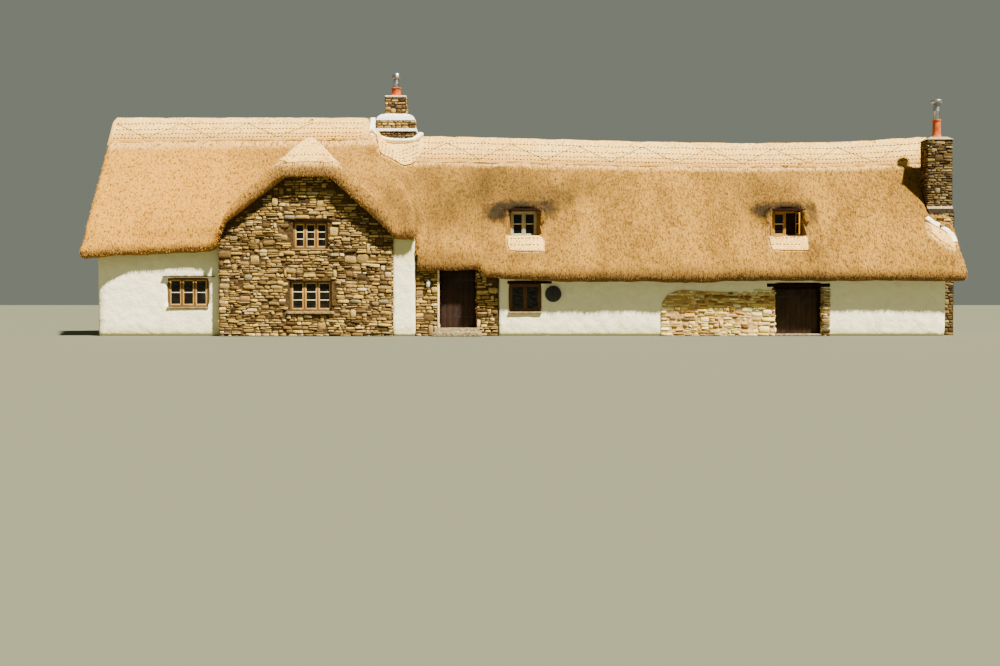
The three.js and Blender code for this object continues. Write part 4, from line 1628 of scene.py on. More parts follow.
    def _straw_ends(self, coat: Object, name: str, count: int, seed: int) -> Object:
        """Scatters straw ends over one half of the roof, thickest along its edges.

        Args:
            coat: The straw that they lie on.
            name: Their name.
            count: How many there are.
            seed: The start of the random numbers.

        Returns:
            The straw ends.
        """
        middles, normals = face_places(coat)
        rng = random.Random(seed)
        upward = normals[:, 2]
        outside = np.flatnonzero(upward > self.slope_from)
        cut_edges = (upward <= self.slope_from) & (upward > self.edge_from)
        edge = np.flatnonzero(cut_edges & self._is_edge(middles))
        scatter = Scatter()
        for number in range(count):
            on_edge = number % self.edge_every == 0
            pool = edge if on_edge else outside
            face = int(pool[rng.randrange(len(pool))])
            middle, normal = Vector(middles[face]), Vector(normals[face])
            down = Vector((0, 0, -1)) - normal * -normal.z
            down.normalize()
            across = normal.cross(down)
            middle += down * rng.uniform(-self.slip, self.slip) + across * rng.uniform(-self.slip, self.slip)
            if on_edge:
                axis = normal * 0.8 + Vector((0, 0, -0.55)) + across * rng.uniform(-0.25, 0.25)
                length = rng.uniform(*self.edge_length)
                middle += normal * 0.004
            else:
                axis = down * -1.0 + normal * -rng.uniform(0.05, 0.13) + across * rng.uniform(-0.14, 0.14)
                length = rng.uniform(*self.slope_length)
                middle += normal * 0.002
            width = rng.uniform(*self.width)
            turn = axis.normalized().to_track_quat("Z", "Y")
            scatter.add(middle, turn, (width, width * 0.7, length), rng.randrange(self.bundles), rng.random())
        return scatter.build(self._prototypes(), name)

    def _is_edge(self, middles: np.ndarray) -> np.ndarray:
        """Which places lie outside the walls, where the eaves and verges show.

        Args:
            middles: The places, one row each.

        Returns:
            The answer for each place.
        """
        x = middles[:, 0] - ORIGIN.x
        y = middles[:, 1] - ORIGIN.y
        (wing_west, wing_east), (west, east), (front, rear) = self.wing_x, self.ends_x, self.eaves_y
        wing = (x > wing_west) & (x < wing_east) & (y < self.wing_y)
        eaves = (y < front) & ~((x > wing_west + 0.1) & (x < wing_east - 0.1))
        return wing | eaves | (y > rear) | (x < west) | (x > east)

    def build(self, palette: Palette) -> list[Object]:
        """Builds both halves.

        Args:
            palette: The finishes.

        Returns:
            The front half and the rear half.
        """
        halves = (
            (self.front_nodes, "thatch_front", "straw_ends_front", 11),
            (self.rear_nodes, "thatch_rear", "straw_ends_rear", 12),
        )
        coats = []
        for (nodes, name, ends_name, seed), count in zip(halves, self.tufts):
            coat = self._coat(nodes, name, nodes is self.rear_nodes)
            ends = self._straw_ends(coat, ends_name, count, seed)
            dress(coat, name, palette.thatch, replaced=nodes)
            dress(ends, ends_name, palette.thatch)
            coats.append(coat)
        return coats


@dataclass
class RidgeCaps:
    """The pale straw caps over the ridges, pinned with hazel rods.

    Attributes:
        rows: How far each row of rods lies from the ridge, on plan.
        rod: The rods' radius.
        stitch: The length from one pin to the next.
        cross: The length of one crossing of the slanting rods.
        west: The ends of the western rows.
        east: The ends of the eastern rows.
        edge: How far the caps' edges are rounded.
        faces: The length and width of the caps' faces.
        lump: The size and the depth of the caps' unevenness.
        lift: How far the rods' middles lie above the straw.
    """

    rows: tuple[float, ...] = (0.22, 0.42, 0.58, 0.71)
    rod: float = 0.019
    stitch: float = 0.13
    cross: float = 2.4
    west: Pair = (-14.1, -4.9)
    east: Pair = (-4.35, 15.7)
    edge: float = 0.07
    faces: Pair = (0.22, 0.16)
    lump: Pair = (0.5, 0.04)
    lift: float = 0.005

    def _cap(self, node: str, name: str, palette: Palette) -> Object:
        """Makes one cap uneven, with soft edges.

        Args:
            node: The CAD piece.
            name: The cap's name.
            palette: The finishes.

        Returns:
            The cap.
        """
        cap = copy_nodes([node], name)
        with editing(cap):
            bpy.ops.mesh.dissolve_limited(angle_limit=math.radians(0.5))
        ease(cap, self.edge, 3, 40)
        cut_grid(cap, (*self.faces, 0.0))
        modify(cap, "TRIANGULATE")
        roughen(cap, *self.lump)
        shade(50)
        fall = [abs(vertex.co.y - ORIGIN.y - RIDGE_Y) for vertex in cap.data.vertices]
        cap.data.attributes.new("fall", "FLOAT", "POINT").data.foreach_set("value", fall)
        return dress(cap, name, palette.cap, replaced=[node])

    def _row(self, tree: BVHTree, span: Pair, side: int, rng: random.Random) -> list[list[Vector]]:
        """The short stretches of one side's rods, and the crossed rods between its rows.

        Args:
            tree: The cap's surface.
            span: The ends of the rows.
            side: -1 before the ridge, 1 behind it.
            rng: The random numbers.

        Returns:
            The points of each rod.
        """
        places = []
        for offset in self.rows:
            x = span[0]
            while x < span[1] - self.stitch:
                y = RIDGE_Y + side * (offset + rng.uniform(-0.012, 0.012))
                places.append([(x, y), (x + self.stitch * rng.uniform(0.35, 0.6), y)])
                x += self.stitch
        x = span[0]
        while x < span[1] - self.cross:
            half = self.cross / 2
            upper, lower = RIDGE_Y + side * self.rows[0], RIDGE_Y + side * self.rows[-1]
            first, last, again = (x, upper), (x + half, lower), (x + self.cross, upper)
            places += [[first, last], [last, again]]
            x += self.cross
        paths = []
        for (x0, y0), (x1, y1) in places:
            steps = (0.0, 1.0) if abs(x1 - x0) < self.stitch else (0.0, 0.25, 0.5, 0.75, 1.0)
            path = [drape(tree, x0 + (x1 - x0) * step, y0 + (y1 - y0) * step, self.lift) for step in steps]
            if None not in path:
                paths.append(path)
        return paths

    def build(self, palette: Palette) -> list[Object]:
        """Builds the caps and their rods.

        Args:
            palette: The finishes.

        Returns:
            The cap of the western ridge and the cap of the eastern ridge.
        """
        rng = random.Random(21)
        west = self._cap("ridge_cap_west", "ridge_cap_west_straw", palette)
        east = self._cap("ridge_cap_east", "ridge_cap_east_straw", palette)
        stretches = []
        for cap, span in ((west, self.west), (east, self.east)):
            tree = tree_of(cap)
            for side in (-1, 1):
                stretches += self._row(tree, span, side, rng)
        pins = [path for path in stretches if len(path) == 2]
        slanting = [path for path in stretches if len(path) > 2]
        kinds = [rods(pins, self.rod, "pins"), rods(slanting, self.rod * 0.5, "slanting_rods")]
        both = join(kinds, "ridge_rods")
        dress(both, "ridge_rods", palette.rod)
        return [west, east]


@dataclass
class StrawApron:
    """A pale sheet of straw laid over the thatch, with a cut edge.

    Attributes:
        name: Its name.
        outline: Its corners on plan, in the house's own measures, the left way round, seen from above.
        step: The size of its faces.
        lift: How far its underside lies above the straw below.
        thickness: Its thickness.
        above: The height at which it is cut out, before it is laid.
    """

    name: str
    outline: Pairs
    step: float = 0.09
    lift: float = 0.0
    thickness: float = 0.045
    above: float = 11.0

    def _sheet(self) -> Object:
        """The flat sheet above the roof, trimmed to its outline.

        Returns:
            The sheet.
        """
        low = [min(corner[axis] for corner in self.outline) for axis in (0, 1)]
        high = [max(corner[axis] for corner in self.outline) for axis in (0, 1)]
        width, depth = high[0] - low[0], high[1] - low[1]
        deselect()
        bpy.ops.mesh.primitive_grid_add(
            x_subdivisions=max(2, round(width / self.step)),
            y_subdivisions=max(2, round(depth / self.step)),
            size=1,
            location=at((low[0] + high[0]) / 2, (low[1] + high[1]) / 2, self.above),
        )
        sheet = bpy.context.object
        sheet.scale = (width, depth, 1)
        settle(sheet)
        with editing(sheet):
            for first, second in zip(self.outline, self.outline[1:] + self.outline[:1]):
                outward = Vector((second[1] - first[1], first[0] - second[0], 0)).normalized()
                cut(at(*first, self.above), outward, clear_outer=True)
        return sheet

    def build(self, below: Object, palette: Palette, replaced: Sequence[str] = ()) -> Object:
        """Lays the sheet.

        Args:
            below: What it lies on.
            palette: The finishes.
            replaced: The CAD pieces that it stands for.

        Returns:
            The sheet.
        """
        sheet = self._sheet()
        modify(
            sheet,
            "SHRINKWRAP",
            target=below,
            wrap_method="PROJECT",
            use_project_z=True,
            use_negative_direction=True,
            use_positive_direction=False,
            offset=self.lift,
        )
        modify(sheet, "SMOOTH", factor=0.5, iterations=3)
        modify(sheet, "SOLIDIFY", thickness=self.thickness, offset=1.0)
        ease(sheet, 0.015, 2, 55)
        roughen(sheet, 0.3, 0.03)
        shade(50)
        return dress(sheet, self.name, palette.cap, replaced=replaced)


@dataclass
class StrawSheets:
    """The pale straw below the dormers, on the wing's ridge and before the central chimney.

    Attributes:
        dormers: The name, the middle and the outline of each sheet below a dormer of the front.
        wing: The outline of the wing's cap.
        chimney: The outline of the sheet before the central chimney.
        rows: The ends of each dotted row of pins on the wing's cap.
        fall: The ends of a row before the central chimney.
        verge: The outline of the straw below the end chimney.
        stitch: The length from one pin to the next.
        rod: The pins' radius.
        lift: How far the pins' middles lie above the straw.
        inset: How far the rows below the dormers stay from the sheets' sides.
        ups: How far above a sheet's lower edge the rows below a dormer lie.
        shifts: How far the rows before the central chimney lie behind the first.
        fresh_caps: How far the straw is paler round the western and the eastern ridge cap.
        fresh_dormers: How far it is paler round the sheets below the dormers.
        fresh_sheets: How far it is paler round the sheet of the wing, of the chimney and of the verge.
    """

    dormers: tuple[tuple[str, float, Pairs], ...] = (
        ("apron_1", 0.835, ((0.31, -0.11), (1.53, -0.12), (1.5, 0.2), (1.31, 0.41), (0.2, 0.41))),
        ("apron_2", 10.045, ((9.34, -0.06), (10.6, -0.05), (10.67, 0.4), (9.32, 0.4))),
    )
    wing: Pairs = (
        (-7.7, -0.55),
        (-7.2, -0.72),
        (-5.8, -0.72),
        (-5.4, -0.5),
        (-5.5, -0.1),
        (-6.8, 2.6),
        (-7.05, 2.6),
        (-7.6, -0.1),
    )
    chimney: Pairs = (
        (-4.56, 3.07),
        (-4.56, 2.83),
        (-4.36, 2.1),
        (-4.2, 1.99),
        (-3.05, 2.51),
        (-2.84, 2.72),
        (-2.78, 3.07),
    )
    rows: tuple[tuple[Pair, Pair], ...] = (
        ((-7.52, -0.1), (-7.0, 2.3)),
        ((-5.6, -0.1), (-6.82, 2.3)),
        ((-7.3, -0.52), (-5.7, -0.52)),
        ((-7.25, 0.3), (-5.9, 0.3)),
    )
    fall: tuple[Pair, Pair] = ((-4.3, 2.35), (-2.85, 2.85))
    verge: Pairs = (
        (15.0, 0.45),
        (15.3, 0.2),
        (15.62, 0.02),
        (15.72, 0.12),
        (15.66, 0.36),
        (15.35, 0.56),
        (15.02, 0.72),
    )
    stitch: float = 0.13
    rod: float = 0.018
    lift: float = 0.004
    inset: float = 0.05
    ups: Pair = (0.14, 0.34)
    shifts: tuple[float, ...] = (0.12, 0.0, -0.12, -0.24, -0.36)
    fresh_caps: Pair = (0.6, 0.35)
    fresh_dormers: float = 0.1
    fresh_sheets: Triple = (0.4, 0.14, 0.3)

    def _pins(self, sheet: Object, start: Pair, end: Pair) -> list[list[Vector]]:
        """A dotted row of pins over a sheet, from one place on plan to another.

        Args:
            sheet: The sheet.
            start: Where the row starts.
            end: Where it ends.

        Returns:
            The two ends of each pin.
        """
        tree = tree_of(sheet)
        length = math.dist(start, end)
        step = self.stitch / length
        paths = []
        for number in range(int(1 / step)):
            ends = []
            for share in (number * step, (number + 0.45) * step):
                x, y = (start[axis] + (end[axis] - start[axis]) * share for axis in (0, 1))
                ends.append(drape(tree, x, y, self.lift))
            if None not in ends:
                paths.append(ends)
        return paths

    def _freshen(self, coat: Object, sheets: Sequence[tuple[Object, float]]) -> None:
        """Marks the straw beside the pale sheets, so that it is paler near them.

        Args:
            coat: The straw.
            sheets: The sheets, and how far from each the straw is paler.
        """
        mesh = coat.data
        points = np.empty(len(mesh.vertices) * 3)
        mesh.vertices.foreach_get("co", points)
        points = points.reshape(-1, 3)
        share = np.zeros(len(points))
        for sheet, reach in sheets:
            corners = np.array([vertex.co for vertex in sheet.data.vertices])
            near = np.all((points > corners.min(0) - reach) & (points < corners.max(0) + reach), axis=1)
            tree = tree_of(sheet)
            for index in np.flatnonzero(near):
                hit = tree.find_nearest(Vector(points[index]), reach)
                if hit[0] is not None:
                    share[index] = max(share[index], 1 - hit[3] / reach)
        mesh.attributes.new("new_straw", "FLOAT", "POINT").data.foreach_set("value", share)

    def build(self, roof: Sequence[Object], palette: Palette) -> None:
        """Lays all the sheets.

        Args:
            roof: The straw of the front half, of the rear half, and the caps of the ridges.
            palette: The finishes.
        """
        front, rear, west_cap, east_cap = roof
        sheets, pins = list(zip((west_cap, east_cap), self.fresh_caps)), []
        for name, middle, outline in self.dormers:
            (west, low), (east, _low) = outline[:2]
            behind = tuple((2 * middle - x, 2 * RIDGE_Y - y) for x, y in outline)
            for title, ground, edge, turn in ((name, front, outline, 1), ("rear_" + name, rear, behind, -1)):
                sheet = StrawApron(title, edge).build(ground, palette)
                sheets.append((sheet, self.fresh_dormers))
                for up in self.ups:
                    ends = [(west + self.inset, low + up), (east - self.inset, low + up)]
                    if turn < 0:
                        ends = [(2 * middle - x, 2 * RIDGE_Y - y) for x, y in ends]
                    pins += self._pins(sheet, *ends)
        wing = StrawApron("wing_cap_straw", self.wing, thickness=0.03).build(front, palette, ["wing_cap"])
        verge = StrawApron("verge_straw", self.verge, thickness=0.02).build(front, palette)
        both = join([copy_object(front), copy_object(east_cap)], "under_apron")
        apron = StrawApron("chimney_apron", self.chimney, lift=0.02).build(both, palette)
        drop([both])
        sheets += list(zip((wing, apron, verge), self.fresh_sheets))
        for start, end in self.rows:
            pins += self._pins(wing, start, end)
        (x0, y0), (x1, y1) = self.fall
        for shift in self.shifts:
            pins += self._pins(apron, (x0, y0 + shift), (x1, y1 + shift))
        dress(rods(pins, self.rod, "sheet_pins"), "sheet_pins", palette.rod)
        for coat in (front, rear):
            self._freshen(coat, sheets)


@dataclass
class WhiteRender:
    """The white mortar round the chimneys and on the end of the high ridge.

    Attributes:
        chimney: The points that the fillet before the central chimney follows.
        verge: The points that the fillet below the end chimney follows.
        radii: Half the width of the fillet before the central chimney and of the other.
        lumps: The size and the depth of the lumps of the one and of the other.
        slab: The corners of the slab on the end of the high ridge.
        crest: The height at which the slab's slopes meet.
        pitch: How much they rise for each metre towards the ridge.
    """

    chimney: tuple[Triple, ...] = (
        (-4.7, 2.76, 7.5),
        (-4.6, 2.82, 7.34),
        (-4.42, 2.92, 7.22),
        (-4.2, 2.98, 7.14),
        (-3.9, 3.0, 7.1),
        (-3.5, 3.0, 7.09),
        (-3.2, 3.02, 7.12),
        (-3.04, 3.1, 7.22),
        (-2.94, 3.2, 7.36),
        (-2.9, 3.32, 7.38),
        (-3.0, 3.5, 7.22),
    )
    verge: tuple[Triple, ...] = (
        (14.96, 0.9, 4.11),
        (15.06, 0.84, 4.01),
        (15.3, 0.7, 3.82),
        (15.55, 0.59, 3.66),
        (15.7, 0.44, 3.46),
        (15.74, 0.24, 3.2),
    )
    radii: Pair = (0.11, 0.135)
    lumps: tuple[Pair, Pair] = ((0.2, 0.05), (0.14, 0.07))
    slab: tuple[Triple, Triple] = ((-4.8, 2.6, 7.0), (-4.6, 4.0, 8.2))
    crest: float = 8.03
    pitch: float = 1.2524

    def _fillet(self, points: Sequence[Triple], radius: float, lump: Pair) -> Object:
        """A rounded band along some points, with lumps of a given size and depth.

        Args:
            points: The points.
            radius: Half the band's width.
            lump: The lumps' size and depth.

        Returns:
            The band.
        """
        band = rods([[at(*point) for point in points]], radius, "band")
        melt(band, 0.03, 3)
        roughen(band, *lump)
        return band

    def _ridge_end(self) -> Object:
        """The upright slab on the end of the high ridge, cut to the slopes.

        Returns:
            The slab.
        """
        slab = block(*self.slab)
        cut_grid(slab, (0.0, 0.14, 0.14))
        with editing(slab):
            for side in (-1, 1):
                slope = Vector((0, side * self.pitch, 1)).normalized()
                cut(at(0, RIDGE_Y, self.crest), slope, use_fill=True, clear_outer=True)
        melt(slab, 0.035, 3)
        roughen(slab, 0.2, 0.04, 0.7)
        return slab

    def build(self, palette: Palette) -> None:
        """Builds the mortar.

        Args:
            palette: The finishes.
        """
        lines = zip((self.chimney, self.verge), self.radii, self.lumps)
        bands = [self._fillet(points, radius, lump) for points, radius, lump in lines]
        whole = join([*bands, self._ridge_end()], "white_mortar")
        dress(whole, "white_mortar", palette.render)


@dataclass
class LimewashedWalls:
    """The white walls, uneven and soft at every corner.

    Attributes:
        groups: The CAD pieces of each stretch of wall.
        openings: The lowest and highest corner of each window opening of the front.
        voxel: The size of the remeshed faces.
        lump: The size of the unevenness.
        depth: The depth of the unevenness.
        ends_x: The places past which the corners of the end walls are rounded.
        sides_y: The places before and behind which they are rounded.
    """

    groups: tuple[tuple[str, tuple[str, ...]], ...] = (
        ("west_walls", ("west_end_wall", "front_wall_west", "rear_wall_west")),
        ("pier_wall", ("white_pier",)),
        (
            "east_walls",
            (
                "door_head_wall",
                "front_wall_middle",
                "shippon_head_wall",
                "front_wall_east",
                "east_end_wall",
                "rear_wall_east",
            ),
        ),
    )
    openings: tuple[tuple[tuple[float, ...], tuple[float, ...]], ...] = (
        ((-11.47, -0.5, 1.0), (-10.07, 0.3, 2.0)),
        ((0.32, -0.5, 0.84), (1.41, 0.3, 1.8)),
    )
    voxel: float = 0.075
    lump: float = 0.8
    depth: float = 0.035
    ends_x: Pair = (-13.9, 15.2)
    sides_y: Pair = (0.3, 6.3)

    def build(self, palette: Palette) -> None:
        """Builds each stretch.

        Args:
            palette: The finishes.
        """
        for name, nodes in self.groups:
            skin = copy_nodes(nodes, name)
            melt(skin, self.voxel, 2)
            self._round_ends(skin)
            roughen(skin, self.lump, self.depth, 1.0)
            self._set_down(skin)
            for opening in self.openings:
                self._square(skin, opening)
            dress(skin, name, palette.limewash, replaced=nodes)

    def _round_ends(self, skin: Object) -> None:
        """Rounds the outer corners of the walls.

        Args:
            skin: The wall.
        """
        (west, east), (front, rear) = self.ends_x, self.sides_y
        select_points(skin, lambda point: not west <= point.x <= east and not front <= point.y <= rear)
        bpy.ops.mesh.vertices_smooth(factor=0.5, repeat=24, wait_for_input=False)
        bpy.ops.object.mode_set(mode="OBJECT")

    def _square(self, skin: Object, opening: tuple[tuple[float, ...], tuple[float, ...]]) -> None:
        """Cuts an opening's corners square again.

        Args:
            skin: The wall.
            opening: Its lowest and highest corner.
        """
        cutter = block(*opening)
        modify(skin, "BOOLEAN", object=cutter, operation="DIFFERENCE", solver="EXACT")
        drop([cutter])

    def _set_down(self, skin: Object) -> None:
        """Presses a wall's foot flat on the ground.

        Args:
            skin: The wall.
        """
        select_points(skin, lambda point: point.z < self.voxel)
        bpy.ops.transform.resize(value=(1, 1, 0), center_override=(0, 0, 0))
        bpy.ops.object.mode_set(mode="OBJECT")


@dataclass
class StoneFace:
    """One upright face that is laid with rubble.

    Attributes:
        origin: Its lower left corner, seen from outside, in the house's own measures.
        across: The way to the right.
        outward: The way out of the wall.
        width: Its width.
        height: Its height.
        keep: Whether a stone at a distance along and up belongs to it.
    """

    origin: Triple
    across: Triple
    outward: Triple
    width: float
    height: float
    keep: Callable[[float, float], bool] = lambda along, up: True


@dataclass
class Rubble:
    """Rubble stones laid in rough courses.

    Attributes:
        course: The lowest and highest course.
        length: The shortest and longest stone.
        joint: The width of the joints.
        proud: How far the stones stand out of the mortar.
        depth: How deep a stone is.
        kinds: How many shapes of stones there are.
        stretch: The shortest and longest stretch with courses of its own.
        least: What is left to the mortar.
        tall: The share of stones that rise through two courses.
        split: The share of stones of a high course that are laid as two.
    """

    course: Pair = (0.06, 0.15)
    length: Pair = (0.12, 0.46)
    joint: float = 0.022
    proud: Pair = (0.005, 0.055)
    depth: float = 0.12
    kinds: int = 6
    stretch: Pair = (0.7, 1.7)
    least: float = 0.03
    tall: float = 0.07
    split: float = 0.35

    def _prototypes(self) -> list[Object]:
        """Models a few rounded stones, a metre each way.

        Returns:
            The stones.
        """
        stones = []
        for seed in range(self.kinds):
            deselect()
            bpy.ops.mesh.primitive_cube_add(size=1)
            stone = bpy.context.object
            with editing(stone):
                bpy.ops.mesh.bevel(offset=0.17, segments=1, affect="EDGES")
                bpy.ops.mesh.select_all(action="SELECT")
                bpy.ops.transform.vertex_random(offset=0.075, seed=seed + 3)
            stones.append(stone)
        return stones

    def _lay(self, scatter: Scatter, face: StoneFace, tree: BVHTree, rng: random.Random) -> None:
        """Lays one face, leaving out what would lie over an opening or past the wall.

        Args:
            scatter: The stones laid so far.
            face: The face.
            tree: The wall's surface.
            rng: The random numbers.
        """
        origin, across, outward = at(*face.origin), Vector(face.across), Vector(face.outward)
        upward = Vector((0, 0, 1))
        basis = Matrix((across, -outward, upward)).transposed().to_quaternion()
        for along, length, foot, rise in self._courses(face, rng):
            middle = origin + across * (along + length / 2) + upward * (foot + rise / 2)
            reach = (across * (length / 2 - 0.02), upward * (rise / 2 - 0.008))
            if not face.keep(along + length / 2, foot + rise / 2):
                continue
            if not self._backed(tree, middle, *reach, outward):
                continue
            out = rng.uniform(*self.proud)
            size = (length - self.joint, self.depth, (rise - self.joint * 0.7) * rng.uniform(0.82, 1.06))
            turn = Quaternion(outward, rng.gauss(0, 0.035)) @ basis
            if rng.random() < 0.5:
                turn = Quaternion(outward, math.pi) @ turn
            place = middle - outward * (self.depth / 2 - out) + upward * rng.uniform(-0.008, 0.008)
            scatter.add(place, turn, size, rng.randrange(self.kinds), rng.random())

    def _courses(self, face: StoneFace, rng: random.Random) -> list[tuple[float, float, float, float]]:
        """The place along the face, the length, the foot and the height of each stone.

        Args:
            face: The face.
            rng: The random numbers.

        Returns:
            Four numbers for each stone.
        """
        stones = []
        start = 0.0
        while start < face.width - self.least:
            end = start + rng.uniform(*self.stretch)
            if face.width - end < 0.5:
                end = face.width
            height, tall = 0.0, []
            while height < face.height - self.least:
                rise = min(rng.uniform(*self.course), face.height - height)
                along = start if start == 0.0 else start + rng.uniform(-0.14, 0.14)
                stop = end if end == face.width else end + rng.uniform(-0.1, 0.1)
                while along < stop - self.least:
                    length = rng.uniform(*self.length) * (0.6 + 3.0 * rise)
                    if stop - along - length < 0.1:
                        length = stop - along
                    over = [stone for stone in tall if stone[2] > height + 0.02 and stone[0] < along + length]
                    over = [stone for stone in over if stone[1] > along]
                    if over and over[0][0] > along + 0.1:
                        length = over[0][0] - along
                    elif over:
                        along = over[0][1]
                        continue
                    if rng.random() < self.tall and length < 0.45 and height + rise < face.height - 0.2:
                        big = rise * rng.uniform(1.7, 2.4)
                        tall.append((along, along + length, height + big))
                        stones.append((along, length, height, big))
                    elif rise > 0.1 and rng.random() < self.split:
                        lower = rise * rng.uniform(0.35, 0.65)
                        stones.append((along, length, height, lower))
                        stones.append((along, length, height + lower, rise - lower))
                    else:
                        stones.append((along, length, height, rise))
                    along += length
                height += rise
            start = end
        return stones

    def _backed(self, tree: BVHTree, middle: Vector, right: Vector, upward: Vector, outward: Vector) -> bool:
        """Whether the wall stands behind a stone's middle and its four corners.

        Args:
            tree: The wall's surface.
            middle: The stone's middle.
            right: From there to its right edge.
            upward: From there to its upper edge.
            outward: The way out of the wall.

        Returns:
            Whether it does.
        """
        away, give = 0.3, 0.03
        for corner in (Vector(), right + upward, right - upward, -right + upward, -right - upward):
            hit = tree.ray_cast(middle + corner + outward * away, -outward, away + 2 * give)
            if hit[0] is None or abs(hit[3] - away) > give:
                return False
        return True

    def lay(
        self,
        faces: Sequence[StoneFace],
        behind: str | Object,
        name: str,
        seed: int,
        material: Material,
    ) -> None:
        """Lays several faces of one CAD piece.

        Args:
            faces: The faces.
            behind: The CAD piece or the object behind them.
            name: The name of the stones.
            seed: The start of the random numbers.
            material: The stones' finish.
        """
        rng = random.Random(seed)
        tree = tree_of(frame["nodes"][behind] if isinstance(behind, str) else behind)
        scatter = Scatter()
        for face in faces:
            self._lay(scatter, face, tree, rng)
        stones = scatter.build(self._prototypes(), name)
        stand(stones)
        activate(stones)
        shade(50)
        dress(stones, name, material)


@dataclass
class StoneWork:
    """All the bare rubble of the house, on mortar beds.

    Attributes:
        rubble: How the walls' stones are laid.
        patch_west: The left end of the bare patch of the long wall.
        patch_crest: The points of the patch's wavy upper edge.
        patch_corners: The corners of the patch's mortar, before it is cut to that edge.
        bulging: How many stretches of the edge, from the left, bulge upwards and can be cut straight.
        central_foot: The west, east, south, north, foot and height of the central chimney's foot.
        central_parts: The same for the parts above it.
        shaft_cap: The corners of the mortar on the central shaft.
        shaft_slope: The height above which that mortar slopes, and what its top is narrowed to.
        end_parts: The west, east, south, north, foot and height of the end chimney's parts.
        end_slopes: The lowest and highest points that slope in there, and what they are narrowed to.
        shoulder: The corners of the stepped stones beside the end chimney.
    """

    rubble: Rubble
    patch_west: float = 5.55
    patch_crest: Pairs = (
        (5.55, 0.8),
        (5.6, 1.16),
        (5.76, 1.4),
        (6.02, 1.54),
        (6.34, 1.59),
        (7.1, 1.54),
        (8.2, 1.57),
        (9.0, 1.6),
        (9.48, 1.63),
    )
    patch_corners: tuple[Triple, Triple] = ((5.55, -0.008, 0.0), (9.478, 0.03, 1.7))
    bulging: int = 5
    central_foot: tuple[float, ...] = (-4.56, -3.14, 3.08, 3.92, 6.8, 0.66)
    central_parts: tuple[tuple[float, ...], ...] = (
        (-4.56, -3.14, 3.08, 3.92, 7.57, 0.3),
        (-4.235, -3.465, 3.155, 3.845, 8.11, 0.63),
    )
    shaft_cap: tuple[Triple, Triple] = ((-4.25, 3.14, 8.73), (-3.45, 3.86, 8.795))
    shaft_slope: Pair = (8.76, 0.88)
    end_parts: tuple[tuple[float, ...], ...] = (
        (15.11, 16.0, 1.2, 1.95, 4.57, 2.34),
        (15.11, 16.0, 1.0, 2.15, 0.0, 4.46),
    )
    end_slopes: tuple[Triple, ...] = ((6.9, 6.95, 0.98), (6.98, 7.2, 0.6))
    shoulder: tuple[tuple[Triple, Triple], ...] = (
        ((15.14, 0.78, 3.5), (15.8, 1.02, 4.12)),
        ((15.34, 0.56, 3.3), (15.7, 0.8, 3.88)),
    )

    def _patch_edge(self, along: float, up: float) -> bool:
        """Whether a stone lies in the bare patch of the long wall, under its wavy upper edge.

        Args:
            along: How far the stone lies from the patch's left end.
            up: Its height.

        Returns:
            Whether it does.
        """
        x = self.patch_west + along
        for (x0, z0), (x1, z1) in zip(self.patch_crest, self.patch_crest[1:]):
            if x0 <= x <= x1:
                return up < z0 + (z1 - z0) * (x - x0) / (x1 - x0) - 0.03
        return False

    def _patch_bed(self, palette: Palette) -> None:
        """Lays the mortar between the stones of the bare patch.

        Args:
            palette: The finishes.
        """
        bed = block(*self.patch_corners)
        with editing(bed):
            for number in range(self.bulging):
                (x0, z0), (x1, z1) = self.patch_crest[number : number + 2]
                upward = Vector((z0 - z1, 0, x1 - x0)).normalized()
                cut(at(x0, 0, z0), upward, use_fill=True, clear_outer=True)
        dress(bed, "patch_mortar", palette.patch_mortar)

    def _ragged_edge(self, along: float, up: float) -> bool:
        """Whether a stone lies left of the ragged edge beside the front door."""
        return along < 0.66 + 0.09 * math.sin(up * 7.0) + 0.05 * math.sin(up * 17.0)

    def build(self, palette: Palette) -> None:
        """Lays every face and beds it in mortar.

        Args:
            palette: The finishes.
        """
        front, right, left = (0, -1, 0), (1, 0, 0), (-1, 0, 0)
        lay = self.rubble.lay
        gable = StoneFace((-9.6, -0.35, 0), (1, 0, 0), front, 5.9, 6.2)
        gable_side = StoneFace((-9.6, 0.0, 0), (0, -1, 0), left, 0.35, 4.0)
        gable_turn = StoneFace((-3.7, -0.35, 0), (0, 1, 0), right, 0.1, 4.2)
        lay([gable, gable_side, gable_turn], "wing_gable_wall", "gable_stones", 31, palette.stone)
        pier = StoneFace((-2.9, 0.0, 0.0), (1, 0, 0), front, 0.78, 2.5)
        reveal = StoneFace((-2.12, 0.0, 0.0), (0, 1, 0), right, 0.22, 2.3)
        lay([pier, reveal], "door_pier_west", "pier_stones_west", 32, palette.stone)
        other = StoneFace((-0.81, 0.0, 0.0), (1, 0, 0), front, 0.74, 2.2, self._ragged_edge)
        jamb = StoneFace((-0.81, 0.22, 0.0), (0, -1, 0), left, 0.22, 2.3)
        lay([other, jamb], "door_pier_east", "pier_stones_east", 33, palette.stone)
        patch = StoneFace((5.55, 0.0, 0.0), (1, 0, 0), front, 3.93, 1.66, self._patch_edge)
        reveal = StoneFace((9.48, 0.0, 0.0), (0, 1, 0), right, 0.22, 1.66)
        lay([patch, reveal], "front_wall_middle", "patch_stones", 34, palette.patch_stone)
        jamb = StoneFace((11.1, 0.22, 0.0), (0, -1, 0), left, 0.22, 1.66)
        side = StoneFace((11.1, 0.0, 0.0), (1, 0, 0), front, 0.3, 1.66)
        lay([jamb, side], "front_wall_east", "jamb_stones", 35, palette.stone)
        self._patch_bed(palette)
        self._central(palette)
        self._end(palette)
        for node in ("wing_gable_wall", "door_pier_west", "door_pier_east"):
            self._bed(node, palette.mortar)
        self._bed("central_stack", palette.stack_mortar)
        self._cappings(palette)
        self._shoulder(palette)

